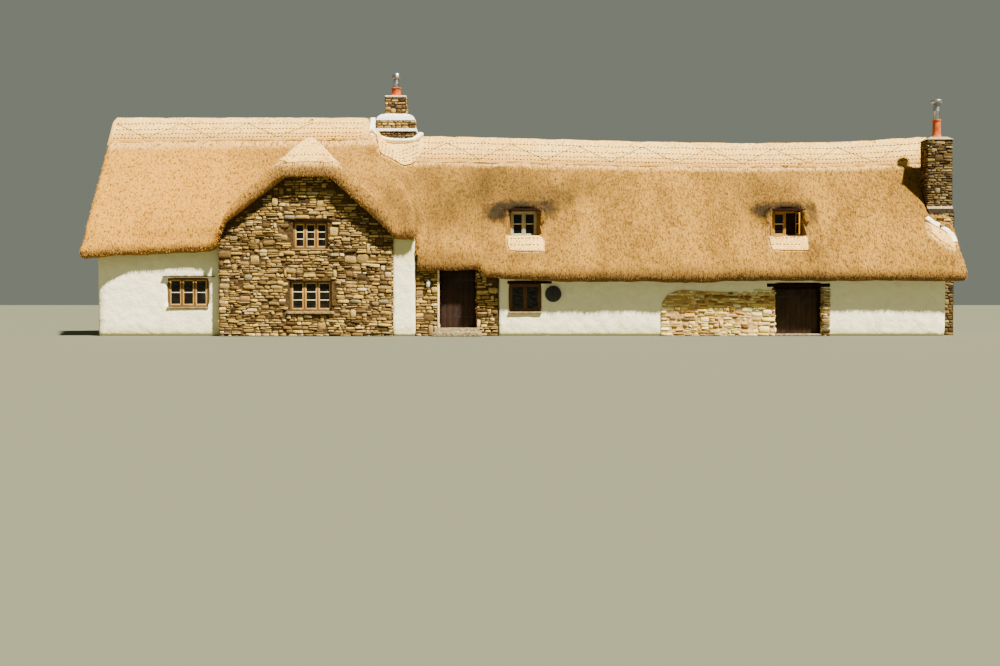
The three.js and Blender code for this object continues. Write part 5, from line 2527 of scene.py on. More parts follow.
    def _bed(self, node: str, material: Material) -> None:
        """Gives a CAD piece its mortar."""
        for slot in frame["nodes"][node].material_slots:
            slot.material = material

    def _around(
        self, west: float, east: float, south: float, north: float, foot: float, height: float
    ) -> list[StoneFace]:
        """The four upright faces round a block, in the house's own measures.

        Args:
            west: The block's lowest x.
            east: Its highest x.
            south: Its lowest y.
            north: Its highest y.
            foot: The height of its foot.
            height: How tall it is.

        Returns:
            The front, the right, the rear and the left face.
        """
        return [
            StoneFace((west, south, foot), (1, 0, 0), (0, -1, 0), east - west, height),
            StoneFace((east, south, foot), (0, 1, 0), (1, 0, 0), north - south, height),
            StoneFace((east, north, foot), (-1, 0, 0), (0, 1, 0), east - west, height),
            StoneFace((west, north, foot), (0, -1, 0), (-1, 0, 0), north - south, height),
        ]

    def _central(self, palette: Palette) -> None:
        """Lays the central chimney.

        Args:
            palette: The finishes.
        """
        small = Rubble((0.055, 0.11), (0.12, 0.32), 0.016, (0.004, 0.028))
        foot = self._around(*self.central_foot)
        # The foot's stones take the darkest finish: painted shade under the white ledge above them.
        small.lay(foot, "central_stack", "central_foot_stones", 38, palette.dark_stone_and_shade)
        faces = [face for part in self.central_parts for face in self._around(*part)]
        small.lay(faces, "central_stack", "central_stack_stones", 36, palette.stack_stone)

    def _end(self, palette: Palette) -> None:
        """Lays the chimney of the east end wall.

        Args:
            palette: The finishes.
        """
        small = Rubble((0.055, 0.12), (0.14, 0.4), 0.016, (0.004, 0.028))
        faces = [face for part in self.end_parts for face in self._around(*part)]
        # Dark stones: partly their own dark tone, partly painted shade.
        small.lay(faces, "end_stack", "end_stack_stones", 37, palette.dark_stone_and_shade)

    def _cappings(self, palette: Palette) -> None:
        """Shapes the sloping mortar on both chimneys.

        Args:
            palette: The finishes.
        """
        stack = copy_nodes(["end_stack"], "end_stack_mortar")
        middle = at(15.555, 1.575, 7.0)
        for low, high, width in self.end_slopes:
            select_points(stack, lambda point: low < point.z < high)
            bpy.ops.transform.resize(value=(width, width, 1), center_override=middle)
            bpy.ops.object.mode_set(mode="OBJECT")
        dress(stack, "end_stack_mortar", palette.end_mortar, replaced=["end_stack"])
        top = block(*self.shaft_cap)
        slope_from, narrowed = self.shaft_slope
        select_points(top, lambda point: point.z > slope_from)
        bpy.ops.transform.resize(value=(narrowed, narrowed, 1), center_override=at(-3.85, 3.5, 8.79))
        bpy.ops.object.mode_set(mode="OBJECT")
        ease(top, 0.012)
        dress(top, "shaft_capping", palette.sill)

    def _shoulder(self, palette: Palette) -> None:
        """Lays the stepped stones where the end chimney comes through the verge.

        Args:
            palette: The finishes.
        """
        bed = join([block(low, high) for low, high in self.shoulder], "shoulder_mortar")
        faces = []
        for (west, south, foot), (east, north, head) in self.shoulder:
            front, right, _rear, left = self._around(west, east, south, north, foot, head - foot)
            faces += [front, right, left]
        small = Rubble((0.055, 0.12), (0.12, 0.3), 0.016, (0.004, 0.03))
        small.lay(faces, bed, "shoulder_stones", 39, palette.stack_stone)
        ease(bed, 0.02)
        dress(bed, "shoulder_mortar", palette.stack_mortar)


@dataclass
class Casement:
    """A timber window: an outer frame, posts between its lights, sashes, bars and glass.

    Attributes:
        node: The CAD piece that it replaces, or none where it is part of a dormer.
        name: The first part of its pieces' names.
        west: The frame's left edge, in the house's own measures.
        east: Its right edge.
        foot: Its lower edge.
        head: Its upper edge.
        front: Where its outer face lies.
        lights: How many lights stand side by side.
        bars: How many bars cross each light.
        rear: Whether it is turned round into the rear wall.
        ajar: The number of the light that stands open, or -1.
        jamb: The width of the outer frame.
        post: The width of the posts between the lights.
        stile: The width of the sashes' members.
        bar: The width of the bars.
        depth: The depth of the frame.
        gap: The gap round each sash.
        sash_y: How far behind the frame's outer face the sashes start and end.
        bar_y: How far behind it the bars start and end.
        pane_y: How far behind it the glass starts and ends.
        open_by: How far an open light is turned, in degrees.
    """

    node: str
    name: str
    west: float
    east: float
    foot: float
    head: float
    front: float = 0.11
    lights: int = 3
    bars: int = 1
    rear: bool = False
    ajar: int = -1
    jamb: float = 0.06
    post: float = 0.046
    stile: float = 0.042
    bar: float = 0.022
    depth: float = 0.09
    gap: float = 0.003
    sash_y: Pair = (0.014, 0.058)
    bar_y: Pair = (0.022, 0.05)
    pane_y: Pair = (0.033, 0.038)
    open_by: float = 96

    def _spans(self) -> list[Pair]:
        """The left and right edge of each light.

        Returns:
            The edges, from left to right.
        """
        clear = self.east - self.west - 2 * self.jamb - (self.lights - 1) * self.post
        width = clear / self.lights
        starts = [self.west + self.jamb + number * (width + self.post) for number in range(self.lights)]
        return [(start, start + width) for start in starts]

    def _frame(self) -> Object:
        """The outer frame and the posts.

        Returns:
            The frame.
        """
        near, far = self.front, self.front + self.depth
        foot, head = self.foot + self.jamb, self.head - self.jamb
        boxes = [
            ((self.west, near, self.foot), (self.west + self.jamb, far, self.head)),
            ((self.east - self.jamb, near, self.foot), (self.east, far, self.head)),
            ((self.west + self.jamb, near - 0.006, self.foot), (self.east - self.jamb, far, foot)),
            ((self.west + self.jamb, near, head), (self.east - self.jamb, far, self.head)),
        ]
        for _start, end in self._spans()[:-1]:
            boxes.append(((end, near, foot), (end + self.post, far, head)))
        return timber(boxes, self.name + "_frame", 0.006)

    def _sash(self, start: float, end: float) -> list[Box]:
        """The four members of the sash of one light.

        Args:
            start: The light's left edge.
            end: Its right edge.

        Returns:
            The corners of each member.
        """
        near, far = (self.front + y for y in self.sash_y)
        west, east = start + self.gap, end - self.gap
        foot, head = self.foot + self.jamb + self.gap, self.head - self.jamb - self.gap
        inner_west, inner_east = west + self.stile, east - self.stile
        return [
            ((west, near, foot), (inner_west, far, head)),
            ((inner_east, near, foot), (east, far, head)),
            ((inner_west, near, foot), (inner_east, far, foot + self.stile)),
            ((inner_west, near, head - self.stile), (inner_east, far, head)),
        ]

    def _cross_bars(self, start: float, end: float) -> list[Box]:
        """The bars across one light.

        Args:
            start: The light's left edge.
            end: Its right edge.

        Returns:
            The corners of each bar.
        """
        foot = self.foot + self.jamb + self.stile
        head = self.head - self.jamb - self.stile
        west, east = start + self.stile, end - self.stile
        near, far = (self.front + y for y in self.bar_y)
        bars = []
        for number in range(self.bars):
            middle = foot + (head - foot) * (number + 1) / (self.bars + 1)
            bars.append(((west, near, middle - self.bar / 2), (east, far, middle + self.bar / 2)))
        return bars

    def _pane(self, start: float, end: float) -> Object:
        """The glass of one light, with the slight waves of old glass.

        Args:
            start: The light's left edge.
            end: Its right edge.

        Returns:
            The glass.
        """
        edge = self.stile - 0.008
        near, far = (self.front + y for y in self.pane_y)
        low = (start + edge, near, self.foot + self.jamb + edge)
        high = (end - edge, far, self.head - self.jamb - edge)
        pane = block(low, high)
        cut_grid(pane, (0.08, 0.0, 0.08))
        roughen(pane, 0.3, 0.004)
        return pane

    def _swing(self, piece: Object, edge: float) -> None:
        """Turns an open light outwards, a little past square, about its right edge.

        Args:
            piece: A part of the light.
            edge: The light's right edge.
        """
        pivot = at(edge, self.front + self.sash_y[0], 0)
        turn = -math.radians(self.open_by)
        with editing(piece):
            bpy.ops.transform.rotate(value=turn, orient_axis="Z", center_override=pivot)

    def build(
        self,
        palette: Palette,
        frame_wood: Material,
        sash_wood: Material,
        bar_paint: Material,
        slot: Slot = Slot.OAK,
    ) -> None:
        """Builds the window.

        Args:
            palette: The finishes.
            frame_wood: The finish of the frame.
            sash_wood: The finish of the sashes.
            bar_paint: The finish of the bars.
            slot: The slot of the timber; it is not used.
        """
        sashes, bars, panes = [], [], []
        for number, (start, end) in enumerate(self._spans()):
            sashes.append(timber(self._sash(start, end), "sash", 0.005))
            panes.append(self._pane(start, end))
            if self.bars:
                bars.append(timber(self._cross_bars(start, end), "bars", 0.004))
            if number == self.ajar:
                for pile in (sashes, panes, bars):
                    self._swing(pile[-1], end)
        pieces = [
            (self._frame(), "frame", frame_wood, slot),
            (join(sashes, "sashes"), "sashes", sash_wood, slot),
            (join(panes, "panes"), "glass", palette.glass, slot),
        ]
        if bars:
            pieces.append((join(bars, "bars"), "bars", bar_paint, Slot.CREAM))
        for piece, part, material, piece_slot in pieces:
            if self.rear:
                turn_round(piece, (self.west + self.east) / 2)
            replaced = [self.node] if self.node and part == "frame" else []
            dress(piece, f"{self.name}_{part}", material, replaced=replaced)


@dataclass
class Dormer:
    """A window under the brow of the thatch, in a recess lined with boards that narrows inwards.

    Attributes:
        node: The CAD piece that it replaces.
        centre: The x of its middle, in the house's own measures.
        rear: Whether it is turned round into the rear slope.
        ajar: Whether its right light stands open.
        sill: The height of its sill.
        head: The height of its head.
        mouth: Half the width of its mouth.
        throat: Half the width of its throat.
        mouth_y: Where its mouth lies.
        frame_y: Where its window stands.
        back_y: Where its back lies.
        board: The thickness of its boards.
        joint: The joints between the boards of the cheeks.
        courses: How many boards make a cheek.
        trim: The way that the cheeks' cut along the straw faces.
        skin: The thickness of the dark boards behind the window.
        shade_board_y: How far behind the mouth the dark board over it starts and ends; the board is painted
            shade under the brow.
        shade_board_z: How far from the head its lower and its upper edge lie.
    """

    node: str
    centre: float
    rear: bool = False
    ajar: bool = False
    sill: float = 3.45
    head: float = 4.39
    mouth: float = 0.64
    throat: float = 0.48
    mouth_y: float = 0.42
    frame_y: float = 1.0
    back_y: float = 1.37
    board: float = 0.03
    joint: float = 0.003
    courses: int = 4
    trim: Triple = (0.0, -0.78, 0.45)
    skin: float = 0.02
    shade_board_y: Pair = (0.28, 0.4)
    shade_board_z: Pair = (-0.035, 0.05)

    def _cheek(self, side: int) -> Object:
        """One splayed side of the recess, made of boards.

        Args:
            side: -1 for the left side, 1 for the right one.

        Returns:
            The boards.
        """
        boards = []
        rise = (self.head - self.sill) / self.courses
        edges = sorted(self.centre + side * reach for reach in (self.throat, self.throat - self.board * 0.9))
        splay = side * (self.mouth - self.throat)
        middle = (self.mouth_y + self.frame_y) / 2
        for number in range(self.courses):
            foot = self.sill + number * rise + self.joint / 2
            board = block((edges[0], self.mouth_y, foot), (edges[1], self.frame_y, foot + rise - self.joint))
            nudge(board, lambda point: point.y < middle, (splay, 0, 0))
            boards.append(board)
        return join(boards, "cheek")

    def _trim(self, piece: Object) -> None:
        """Cuts the boards off along the slope of the straw.

        Args:
            piece: The boards.
        """
        with editing(piece):
            point = at(self.centre, self.mouth_y, self.sill + 0.1)
            cut(point, Vector(self.trim).normalized(), use_fill=True, clear_outer=True)

    def _lining(self) -> Object:
        """The cheeks, the head board and the sill board.

        Returns:
            The lining.
        """
        cheeks = join([self._cheek(-1), self._cheek(1)], "cheeks")
        self._trim(cheeks)
        low = (self.centre - self.throat, self.mouth_y + 0.35, self.head - self.board)
        head = block(low, (self.centre + self.throat, self.frame_y, self.head))
        sill = block(
            (self.centre - self.throat, self.mouth_y, self.sill),
            (self.centre + self.throat, self.frame_y + self.board, self.sill + self.board * 0.8),
        )
        middle = (self.mouth_y + self.frame_y) / 2
        spread = self.mouth - self.throat
        for side in (-1, 1):
            reach = self.centre + side * (self.throat - 0.01)
            chosen = lambda point, side=side, reach=reach: point.y < middle and (point.x - reach) * side > 0
            nudge(sill, chosen, (side * spread, 0, 0))
        lining = join([cheeks, head, sill], "lining")
        ease(lining, 0.004, 1, 40)
        shade(30)
        return lining

    def _room(self) -> Object:
        """The dark boards round the space behind the window.

        Returns:
            The boards.
        """
        low = Vector((self.centre - self.throat, self.frame_y + 0.095, self.sill + 0.002))
        high = Vector((self.centre + self.throat, self.back_y, self.head - 0.002))
        skin = self.skin
        boxes = [
            ((low.x, high.y - skin, low.z), (high.x, high.y, high.z)),
            ((low.x, low.y, low.z), (low.x + skin, high.y - skin, high.z)),
            ((high.x - skin, low.y, low.z), (high.x, high.y - skin, high.z)),
            ((low.x + skin, low.y, low.z), (high.x - skin, high.y - skin, low.z + skin)),
            ((low.x + skin, low.y, high.z - skin), (high.x - skin, high.y - skin, high.z)),
        ]
        return timber(boxes, "room", 0.003)

    def build(self, palette: Palette, wood: Material, slot: Slot) -> None:
        """Builds the dormer.

        Args:
            palette: The finishes.
            wood: The finish of the window's timber.
            slot: The slot of the window's timber; it is not used.
        """
        # A dark board across the top of the mouth: painted shade under the brow.
        low = (self.centre - self.mouth - 0.01, self.mouth_y + self.shade_board_y[0], self.head + self.shade_board_z[0])
        high = (self.centre + self.mouth + 0.01, self.mouth_y + self.shade_board_y[1], self.head + self.shade_board_z[1])
        lining, room, board = self._lining(), self._room(), timber([(low, high)], "head", 0.012)
        if self.rear:
            for piece in (lining, room, board):
                turn_round(piece, self.centre)
        dress(lining, self.node + "_lining", palette.lining, replaced=[self.node])
        dress(room, self.node + "_room", palette.plank)
        dress(board, self.node + "_head_board", palette.beam)
        half = self.throat - 0.025
        window = Casement(
            "",
            self.node,
            self.centre - half,
            self.centre + half,
            self.sill + self.board,
            self.head - self.board,
            front=self.frame_y,
            lights=2,
            rear=self.rear,
            ajar=1 if self.ajar else -1,
            jamb=0.055,
            post=0.05,
            bar=0.03,
        )
        window.build(palette, wood, wood, palette.bar, slot)


@dataclass
class PlankDoor:
    """A door of upright planks on ledges, with strap hinges and a ring.

    Attributes:
        name: The CAD piece that it replaces, and the first part of its pieces' names.
        west: Its left edge, in the house's own measures.
        east: Its right edge.
        foot: Its lower edge.
        head: Its upper edge.
        planks: How many planks it has.
        hinged_east: Whether its hinges are at the right.
        front: Where its outer face lies.
        depth: Its whole thickness.
        plank_depth: The planks' thickness.
        joint: The gap between two planks.
        ledges: The places of the ledges, as shares of the height.
        ledge: Half a ledge's height, and how far it stays from the door's edges.
        straps: The places of the hinge straps, as shares of the height.
        strap: A strap's length as a share of the width, half its height, and its thickness.
        latch: How far the ring hangs from the edge.
        ring: The ring's radius and half its thickness.
    """

    name: str
    west: float
    east: float
    foot: float
    head: float
    planks: int
    hinged_east: bool
    front: float = 0.327
    depth: float = 0.05
    plank_depth: float = 0.032
    joint: float = 0.004
    ledges: Triple = (0.14, 0.5, 0.84)
    ledge: Pair = (0.07, 0.05)
    straps: Pair = (0.18, 0.82)
    strap: Triple = (0.62, 0.022, 0.008)
    latch: float = 0.09
    ring: Pair = (0.042, 0.006)

    def _boards(self) -> Object:
        """The planks and the ledges behind them.

        Returns:
            The boards.
        """
        rng = random.Random(len(self.name))
        boxes = []
        width = (self.east - self.west) / self.planks
        for number in range(self.planks):
            start = self.west + number * width
            back = self.front + self.plank_depth - 0.001
            near = self.front + rng.uniform(0.0, 0.004)
            left, right = start + self.joint / 2, start + width - self.joint / 2
            boxes.append(((left, near, self.foot), (right, back, self.head)))
        back = self.front + self.depth
        half, inset = self.ledge
        for share in self.ledges:
            middle = self.foot + (self.head - self.foot) * share
            low = (self.west + inset, self.front + self.plank_depth - 0.002, middle - half)
            boxes.append((low, (self.east - inset, back, middle + half)))
        return timber(boxes, self.name + "_planks", 0.006)

    def _straps(self) -> Object:
        """The hinge straps, which taper towards their tips, and a ring.

        Returns:
            The ironwork.
        """
        straps = []
        hinge, tip = (self.east, self.west) if self.hinged_east else (self.west, self.east)
        share_of_width, half, thickness = self.strap
        far = hinge + (tip - hinge) * share_of_width
        near = self.front - thickness / 2
        for share in self.straps:
            middle = self.foot + (self.head - self.foot) * share
            edges = sorted((hinge, far))
            strap = block((edges[0], near, middle - half), (edges[1], near + thickness, middle + half))
            for side in (-1, 1):
                chosen = lambda point: abs(point.x - far) < 0.01 and (point.z - middle) * side > 0
                nudge(strap, chosen, (0, 0, -side * 0.012))
            straps.append(strap)
        latch = tip + (self.latch if self.hinged_east else -self.latch)
        height = self.foot + (self.head - self.foot) * 0.5
        deselect()
        bpy.ops.mesh.primitive_torus_add(
            major_radius=self.ring[0],
            minor_radius=self.ring[1],
            major_segments=24,
            minor_segments=8,
            location=at(latch, near - 0.008, height),
            rotation=(math.radians(90), 0, 0),
        )
        ring = bpy.context.object
        settle(ring)
        plate = block((latch - 0.02, near, height + 0.02), (latch + 0.02, near + 0.006, height + 0.075))
        whole = join([*straps, ring, plate], self.name + "_iron")
        ease(whole, 0.0015, 1, 50)
        shade(40)
        return whole

    def build(self, palette: Palette, wood: Material) -> None:
        """Builds the door.

        Args:
            palette: The finishes.
            wood: The finish of its planks.
        """
        boards, straps, body = self._boards(), self._straps(), self.name + "_leaf"
        dress(boards, self.name + "_planks", wood, body, [self.name])
        dress(straps, self.name + "_iron", palette.iron, body)


@dataclass
class ChimneyTops:
    """The clay pots, the steel liners and their cowls.

    Attributes:
        sides: How many sides the round pieces have.
        central: The middle of the foot of the central pot, in the house's own measures.
        end: The middle of the foot of the end pot.
        central_pot: The radius and the height of each point of its outline, from the foot up.
        central_cowl: The same for the liner and the cowl over it.
        end_pot: The same for the end pot.
        end_cowl: The same for the liner and the cowl over it.
        central_lift: How far above the foot of the central pot its liner starts.
        end_lift: The same for the end pot.
    """

    sides: int = 32
    central: Triple = (-3.85, 3.5, 8.7803)
    end: Triple = (15.555, 1.575, 7.0203)
    central_pot: Pairs = (
        (0.188, 0.0), (0.195, 0.02), (0.198, 0.055), (0.176, 0.085), (0.168, 0.12), (0.164, 0.26),
        (0.172, 0.285), (0.188, 0.3), (0.19, 0.325), (0.184, 0.338), (0.16, 0.3385), (0.15, 0.315),
        (0.122, 0.314),
    )
    central_cowl: Pairs = (
        (0.118, 0.0), (0.118, 0.14), (0.1195, 0.145), (0.118, 0.15), (0.118, 0.325), (0.124, 0.33),
        (0.155, 0.345), (0.164, 0.37), (0.16, 0.405), (0.152, 0.43), (0.15, 0.48), (0.13, 0.515),
        (0.1, 0.538), (0.07, 0.551), (0.03, 0.5585),
    )
    end_pot: Pairs = (
        (0.186, 0.0), (0.188, 0.02), (0.166, 0.06), (0.15, 0.1), (0.142, 0.16), (0.137, 0.5),
        (0.14, 0.56), (0.152, 0.58), (0.155, 0.605), (0.152, 0.63), (0.147, 0.638), (0.13, 0.6385),
        (0.12, 0.62),
    )
    end_cowl: Pairs = (
        (0.116, 0.0), (0.116, 0.29), (0.118, 0.296), (0.116, 0.302), (0.116, 0.585), (0.13, 0.59),
        (0.2, 0.6), (0.205, 0.612), (0.204, 0.655), (0.192, 0.692), (0.15, 0.712), (0.08, 0.728),
        (0.03, 0.736),
    )
    central_lift: float = 0.34
    end_lift: float = 0.64

    def build(self, palette: Palette) -> None:
        """Builds both tops.

        Args:
            palette: The finishes.
        """
        tops = (
            ("central", self.central, self.central_pot, self.central_cowl, self.central_lift),
            ("end", self.end, self.end_pot, self.end_cowl, self.end_lift),
        )
        for side, foot, pot, cowl, lift in tops:
            clay = turned(at(*foot), pot, self.sides)
            dress(clay, side + "_pot_clay", palette.clay, replaced=[side + "_pot"])
            steel = turned(at(*foot) + Vector((0, 0, lift)), cowl, self.sides)
            dress(steel, side + "_cowl_steel", palette.steel, replaced=[side + "_cowl"])


@dataclass
class Fittings:
    """The lantern beside the door and the round plate beside the window.

    Attributes:
        lantern: The middle of the lantern's foot, in the house's own measures.
        glass: The radius and the height of each point of the lantern's glass.
        roof: The same for its small roof.
        base: The same for its base.
        cage: The distance from the middle and the height of each point of a bar of its cage.
        plate: The middle of the plate.
        dish: The radius of each ring of the plate, and how far it stands out.
    """

    lantern: Triple = (-2.47, -0.1303, 1.66)
    glass: Pairs = ((0.034, 0.022), (0.05, 0.04), (0.062, 0.12), (0.064, 0.2), (0.058, 0.215))
    roof: Pairs = (
        (0.066, 0.214), (0.068, 0.224), (0.05, 0.245), (0.03, 0.268), (0.014, 0.278), (0.01, 0.296),
    )
    base: Pairs = ((0.02, 0.0), (0.03, 0.006), (0.038, 0.02), (0.034, 0.024))
    cage: Pairs = ((0.036, 0.02), (0.065, 0.13), (0.066, 0.22))
    plate: Triple = (1.83, -0.12, 1.45)
    dish: Pairs = ((0.05, 0.0), (0.14, 0.004), (0.22, 0.012), (0.27, 0.024), (0.28, 0.029), (0.276, 0.0295))

    def _lantern(self, palette: Palette) -> None:
        """Builds the lantern: a milk-glass body under a small roof, on an arm.

        Args:
            palette: The finishes.
        """
        foot = at(*self.lantern)
        glass, roof, base = (turned(foot, outline, 20) for outline in (self.glass, self.roof, self.base))
        x, y, z = self.lantern
        arm = rods([[at(x, y, z + 0.012), at(x, y + 0.06, z), at(x, -0.012, z + 0.03)]], 0.009, "arm")
        back = block((x - 0.035, -0.014, z - 0.01), (x + 0.035, -0.001, z + 0.08))
        bars = []
        for number in range(4):
            turn = math.radians(45 + 90 * number)
            side = Vector((math.cos(turn), math.sin(turn), 0))
            bars.append([foot + (side * reach + Vector((0, 0, height))) for reach, height in self.cage])
        iron = join([roof, base, arm, back, rods(bars, 0.0035, "cage")], "lantern_iron")
        dress(iron, "lantern_iron", palette.iron, replaced=["lantern"])
        dress(glass, "lantern_glass", palette.lamp)

    def _plate(self, palette: Palette) -> None:
        """Builds the dished round plate and its post.

        Args:
            palette: The finishes.
        """
        x, y, z = self.plate
        middle = at(*self.plate)
        dish = turned(middle, self.dish, 40)
        with editing(dish):
            bpy.ops.transform.rotate(value=math.radians(90), orient_axis="X", center_override=middle)
            bpy.ops.mesh.normals_make_consistent(inside=False)
        shade(30)
        post = block((x - 0.024, y + 0.012, z - 0.024), (x + 0.024, -0.001, z + 0.024))
        whole = join([dish, post], "wall_disc_iron")
        dress(whole, "wall_disc_iron", palette.iron, replaced=["wall_disc"])

    def build(self, palette: Palette) -> None:
        """Builds both fittings.

        Args:
            palette: The finishes.
        """
        self._lantern(palette)
        self._plate(palette)


@dataclass
class Joinery:
    """The windows, dormers, doors, lintels, sills and floors.

    Attributes:
        gable_y: Where the outer faces of the gable's windows lie.
        drip: The corners of the drip board over the western window.
        lintel: The corners of the lintel over the gable's upper window.
        lintel_drop: How much lower the lintel's ends lie than its middle.
        door_post: The corners of the pale post beside the front door.
        sills: The corners of each window sill.
    """

    gable_y: float = -0.24
    drip: Box = ((-11.62, -0.09, 2.035), (-9.82, 0.02, 2.065))
    lintel: Box = ((-7.22, -0.365, 3.92), (-5.74, -0.24, 4.03))
    lintel_drop: float = 0.05
    door_post: Box = ((-2.15, -0.05, 0.29), (-2.09, 0.02, 2.33))
    sills: tuple[Box, ...] = (
        ((-7.28, -0.44, 0.765), (-5.67, -0.2, 0.86)),
        ((-7.12, -0.39, 2.93), (-5.84, -0.2, 2.98)),
        ((-11.49, -0.03, 0.955), (-10.05, 0.16, 1.0)),
        ((0.29, -0.05, 0.77), (1.44, 0.16, 0.84)),
    )

    def _windows(self, palette: Palette) -> None:
        """Builds every window of the walls.

        Args:
            palette: The finishes.
        """
        oak = (palette, palette.oak, palette.sash_oak, palette.bar)
        Casement("window_west", "window_west", -11.4697, -10.0703, 1.0, 2.0).build(*oak)
        for node, name, west, east, foot, head in (
            ("gable_window_lower", "gable_lower", -7.1997, -5.7503, 0.86, 1.9),
            ("gable_window_upper", "gable_upper", -7.0797, -5.8803, 2.98, 3.91),
        ):
            Casement(node, name, west, east, foot, head, self.gable_y, bars=2).build(*oak)
        brown = (palette, palette.brown, palette.brown, palette.brown, Slot.BROWN)
        Casement("window_middle", "window_middle", 0.3203, 1.4097, 0.84, 1.8, lights=2, bars=0).build(*brown)
        Casement("rear_window_1", "rear_one", -11.3997, -10.0003, 1.0, 2.0, rear=True).build(*oak)
        Casement("rear_window_2", "rear_two", -1.9997, -0.6003, 0.9, 1.85, rear=True).build(*oak)
        Casement("rear_window_3", "rear_three", 5.2003, 6.2997, 0.84, 1.8, lights=2, rear=True).build(*oak)

    def _dormers(self, palette: Palette) -> None:
        """Builds the dormers.

        Args:
            palette: The finishes.
        """
        Dormer("dormer_1", 0.835).build(palette, palette.cream, Slot.CREAM)
        Dormer("dormer_2", 10.045, ajar=True).build(palette, palette.golden, Slot.OAK)
        for node, centre in (("rear_dormer_1", 0.835), ("rear_dormer_2", 10.045)):
            Dormer(node, centre, rear=True).build(palette, palette.golden, Slot.OAK)

    def _doors(self, palette: Palette) -> None:
        """Builds the doors and their frames.

        Args:
            palette: The finishes.
        """
        front = PlankDoor("front_door", -2.07, -0.86, 0.295, 2.29, 6, True)
        front.build(palette, palette.door)
        shippon = PlankDoor("shippon_door", 9.53, 11.05, 0.09, 1.64, 8, False)
        shippon.build(palette, palette.plank)
        for node in ("front_door_frame", "shippon_door_frame"):
            name = node + "_posts"
            dress(eased([node], name, 0.007), name, palette.beam, replaced=[node])

    def _timbers(self, palette: Palette) -> None:
        """Builds the lintels, the drip board and the sills.

        Args:
            palette: The finishes.
        """
        for node in ("shippon_lintel", "window_lintel"):
            beam = eased([node], node + "_timber", 0.018)
            cut_grid(beam, (0.16, 0.0, 0.0))
            roughen(beam, 0.3, 0.02, 0.6)
            dress(beam, node + "_timber", palette.beam, replaced=[node])
        drip, lintel = block(*self.drip), block(*self.lintel)
        cut_grid(lintel, (0.24, 0.0, 0.0))
        for end, _y, _z in self.lintel:
            nudge(lintel, lambda point: abs(point.x - end) < 0.02, (0, 0, -self.lintel_drop))
        wood = join([drip, lintel], "wall_timbers")
        ease(wood, 0.008, 2, 50)
        shade(30)
        dress(wood, "wall_timbers", palette.beam)
        post = timber([self.door_post], "door_post", 0.008)
        dress(post, "door_post", palette.bar)

    def _sills(self, palette: Palette) -> None:
        """Builds the stone and rendered sills of the windows.

        Args:
            palette: The finishes.
        """
        sills = []
        for corners in self.sills:
            sill = block(*corners)
            cut_grid(sill, (0.15, 0.0, 0.0))
            sills.append(sill)
        whole = join(sills, "window_sills")
        ease(whole, 0.014, 2, 50)
        roughen(whole, 0.25, 0.015)
        shade(40)
        dress(whole, "window_sills", palette.sill)

    def _floors(self, palette: Palette) -> None:
        """Finishes the floors, the threshold and the doorstep.

        Args:
            palette: The finishes.
        """
        floors = (
            ("ground_floor", palette.flags, Slot.SLATE),
            ("shippon_floor", palette.flags, Slot.SLATE),
            ("upper_floor", palette.boards, Slot.BOARDS),
        )
        for node, material, slot in floors:
            dress(eased([node], node + "_slab", 0.004), node + "_slab", material, replaced=[node])
        for node in ("doorstep", "shippon_sill"):
            step = eased([node], node + "_stone", 0.02)
            cut_grid(step, (0.2, 0.2, 0.0))
            roughen(step, 0.3, 0.02, 0.7)
            stand(step)
            dress(step, node + "_stone", palette.step, replaced=[node])

    def build(self, palette: Palette) -> None:
        """Builds all of it.

        Args:
            palette: The finishes.
        """
        self._windows(palette)
        self._dormers(palette)
        self._doors(palette)
        self._timbers(palette)
        self._sills(palette)
        self._floors(palette)


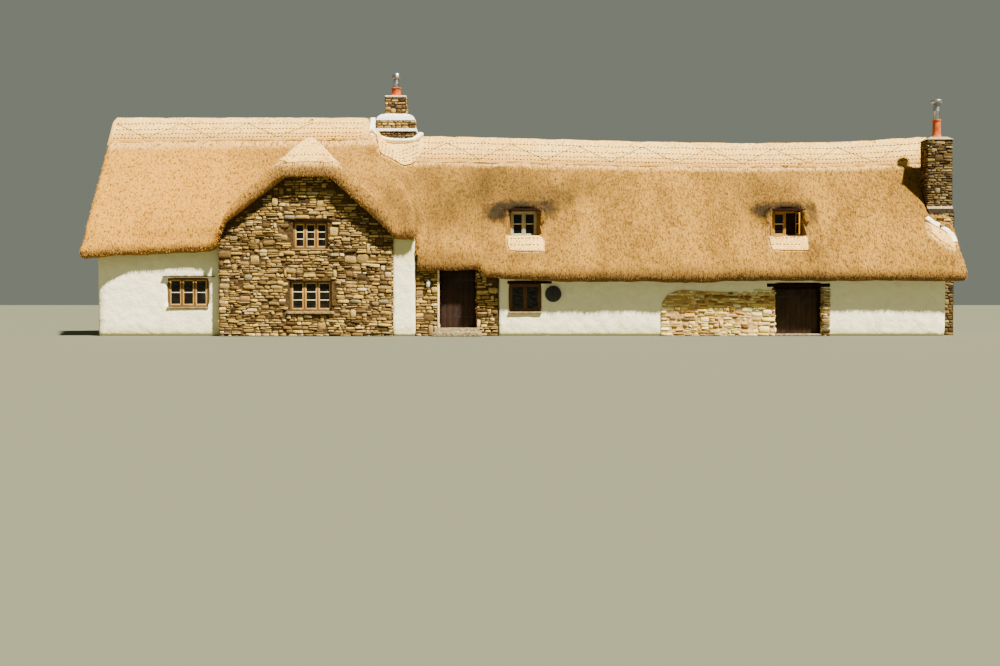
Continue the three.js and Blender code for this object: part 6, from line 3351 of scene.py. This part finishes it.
@dataclass
class Studio:
    """The floor, the light and the camera.

    Attributes:
        eye: Where the camera stands, in the house's own measures.
        focal_length: The lens, on a sensor 36 mm wide.
        tilt: How far the camera looks down, in degrees.
        sun_height: The key light's height above the floor, in degrees.
        sun_side: How far the key light stands to the right of the house's front, in degrees.
        sun_power: The key light's strength.
        sky_power: The strength of the even light from all round.
        floor_width: The width of the floor.
        floor_depth: How far the floor lies below the house.
        sun_softness: The width of the key light in the sky, in degrees.
        sun_colour: The key light's colour.
        sky_colour: The even light's colour.
        floor_colour: The floor's colour.
    """

    eye: Triple = (0.0, -42.0, 1.24)
    focal_length: float = 43.85
    tilt: float = 1.55
    sun_height: float = 57.0
    sun_side: float = 42.0
    sun_power: float = 20.0
    sky_power: float = 0.21
    floor_width: float = 500.0
    floor_depth: float = 0.002
    sun_softness: float = 2.5
    sun_colour: Triple = (1.0, 0.95, 0.87)
    sky_colour: Colour = (0.92, 1.0, 0.8, 1.0)
    floor_colour: Colour = (0.105, 0.108, 0.068, 1.0)

    def camera(self) -> None:
        """Sets the camera at the photograph's viewing angle."""
        deselect()
        turn = (math.radians(90 - self.tilt), 0, 0)
        bpy.ops.object.camera_add(location=at(*self.eye), rotation=turn)
        camera = bpy.context.object
        camera.name = "main_camera"
        camera.data.lens = self.focal_length
        camera.data.sensor_width = 36
        camera.data.sensor_fit = "HORIZONTAL"
        camera.data.clip_end = 1000
        bpy.context.scene.camera = camera

    def light(self) -> None:
        """Sets the soft key light and the even light from all round."""
        deselect()
        up = math.radians(self.sun_height)
        side = math.radians(self.sun_side)
        towards = Vector((math.sin(side) * math.cos(up), -math.cos(side) * math.cos(up), math.sin(up)))
        turn = towards.to_track_quat("Z", "Y").to_euler()
        bpy.ops.object.light_add(type="SUN", location=towards * 40, rotation=turn)
        sun = bpy.context.object
        sun.name = "key_light"
        sun.data.energy = self.sun_power
        sun.data.angle = math.radians(self.sun_softness)
        sun.data.color = self.sun_colour
        world = bpy.data.worlds.new("even_light")
        world.use_nodes = True
        ground = world.node_tree.nodes["Background"]
        ground.inputs["Color"].default_value = self.sky_colour
        ground.inputs["Strength"].default_value = self.sky_power
        bpy.context.scene.world = world

    def floor(self) -> None:
        """Lays the plain floor."""
        deselect()
        bpy.ops.mesh.primitive_plane_add(size=self.floor_width, location=(0, 0, -self.floor_depth))
        ground = bpy.context.object
        settle(ground)
        ground.name = "floor"
        paint = Shader("floor_paint").surface(self.floor_colour, 0.95, Specular_IOR_Level=0.1)
        ground.data.materials.append(paint)

    def build(self) -> None:
        """Makes the whole studio."""
        self.camera()
        self.light()
        self.floor()


def main() -> None:
    """Builds the house's pieces in order and reports each."""
    logging.basicConfig(level=logging.INFO, format="%(name)s: %(message)s")
    palette = Palette()
    Studio().build()
    roof = ThatchRoof().build(palette)
    roof += RidgeCaps().build(palette)
    StrawSheets().build(roof, palette)
    WhiteRender().build(palette)
    LimewashedWalls().build(palette)
    StoneWork(Rubble()).build(palette)
    Joinery().build(palette)
    ChimneyTops().build(palette)
    Fittings().build(palette)


if __name__ == "__main__":
    main()
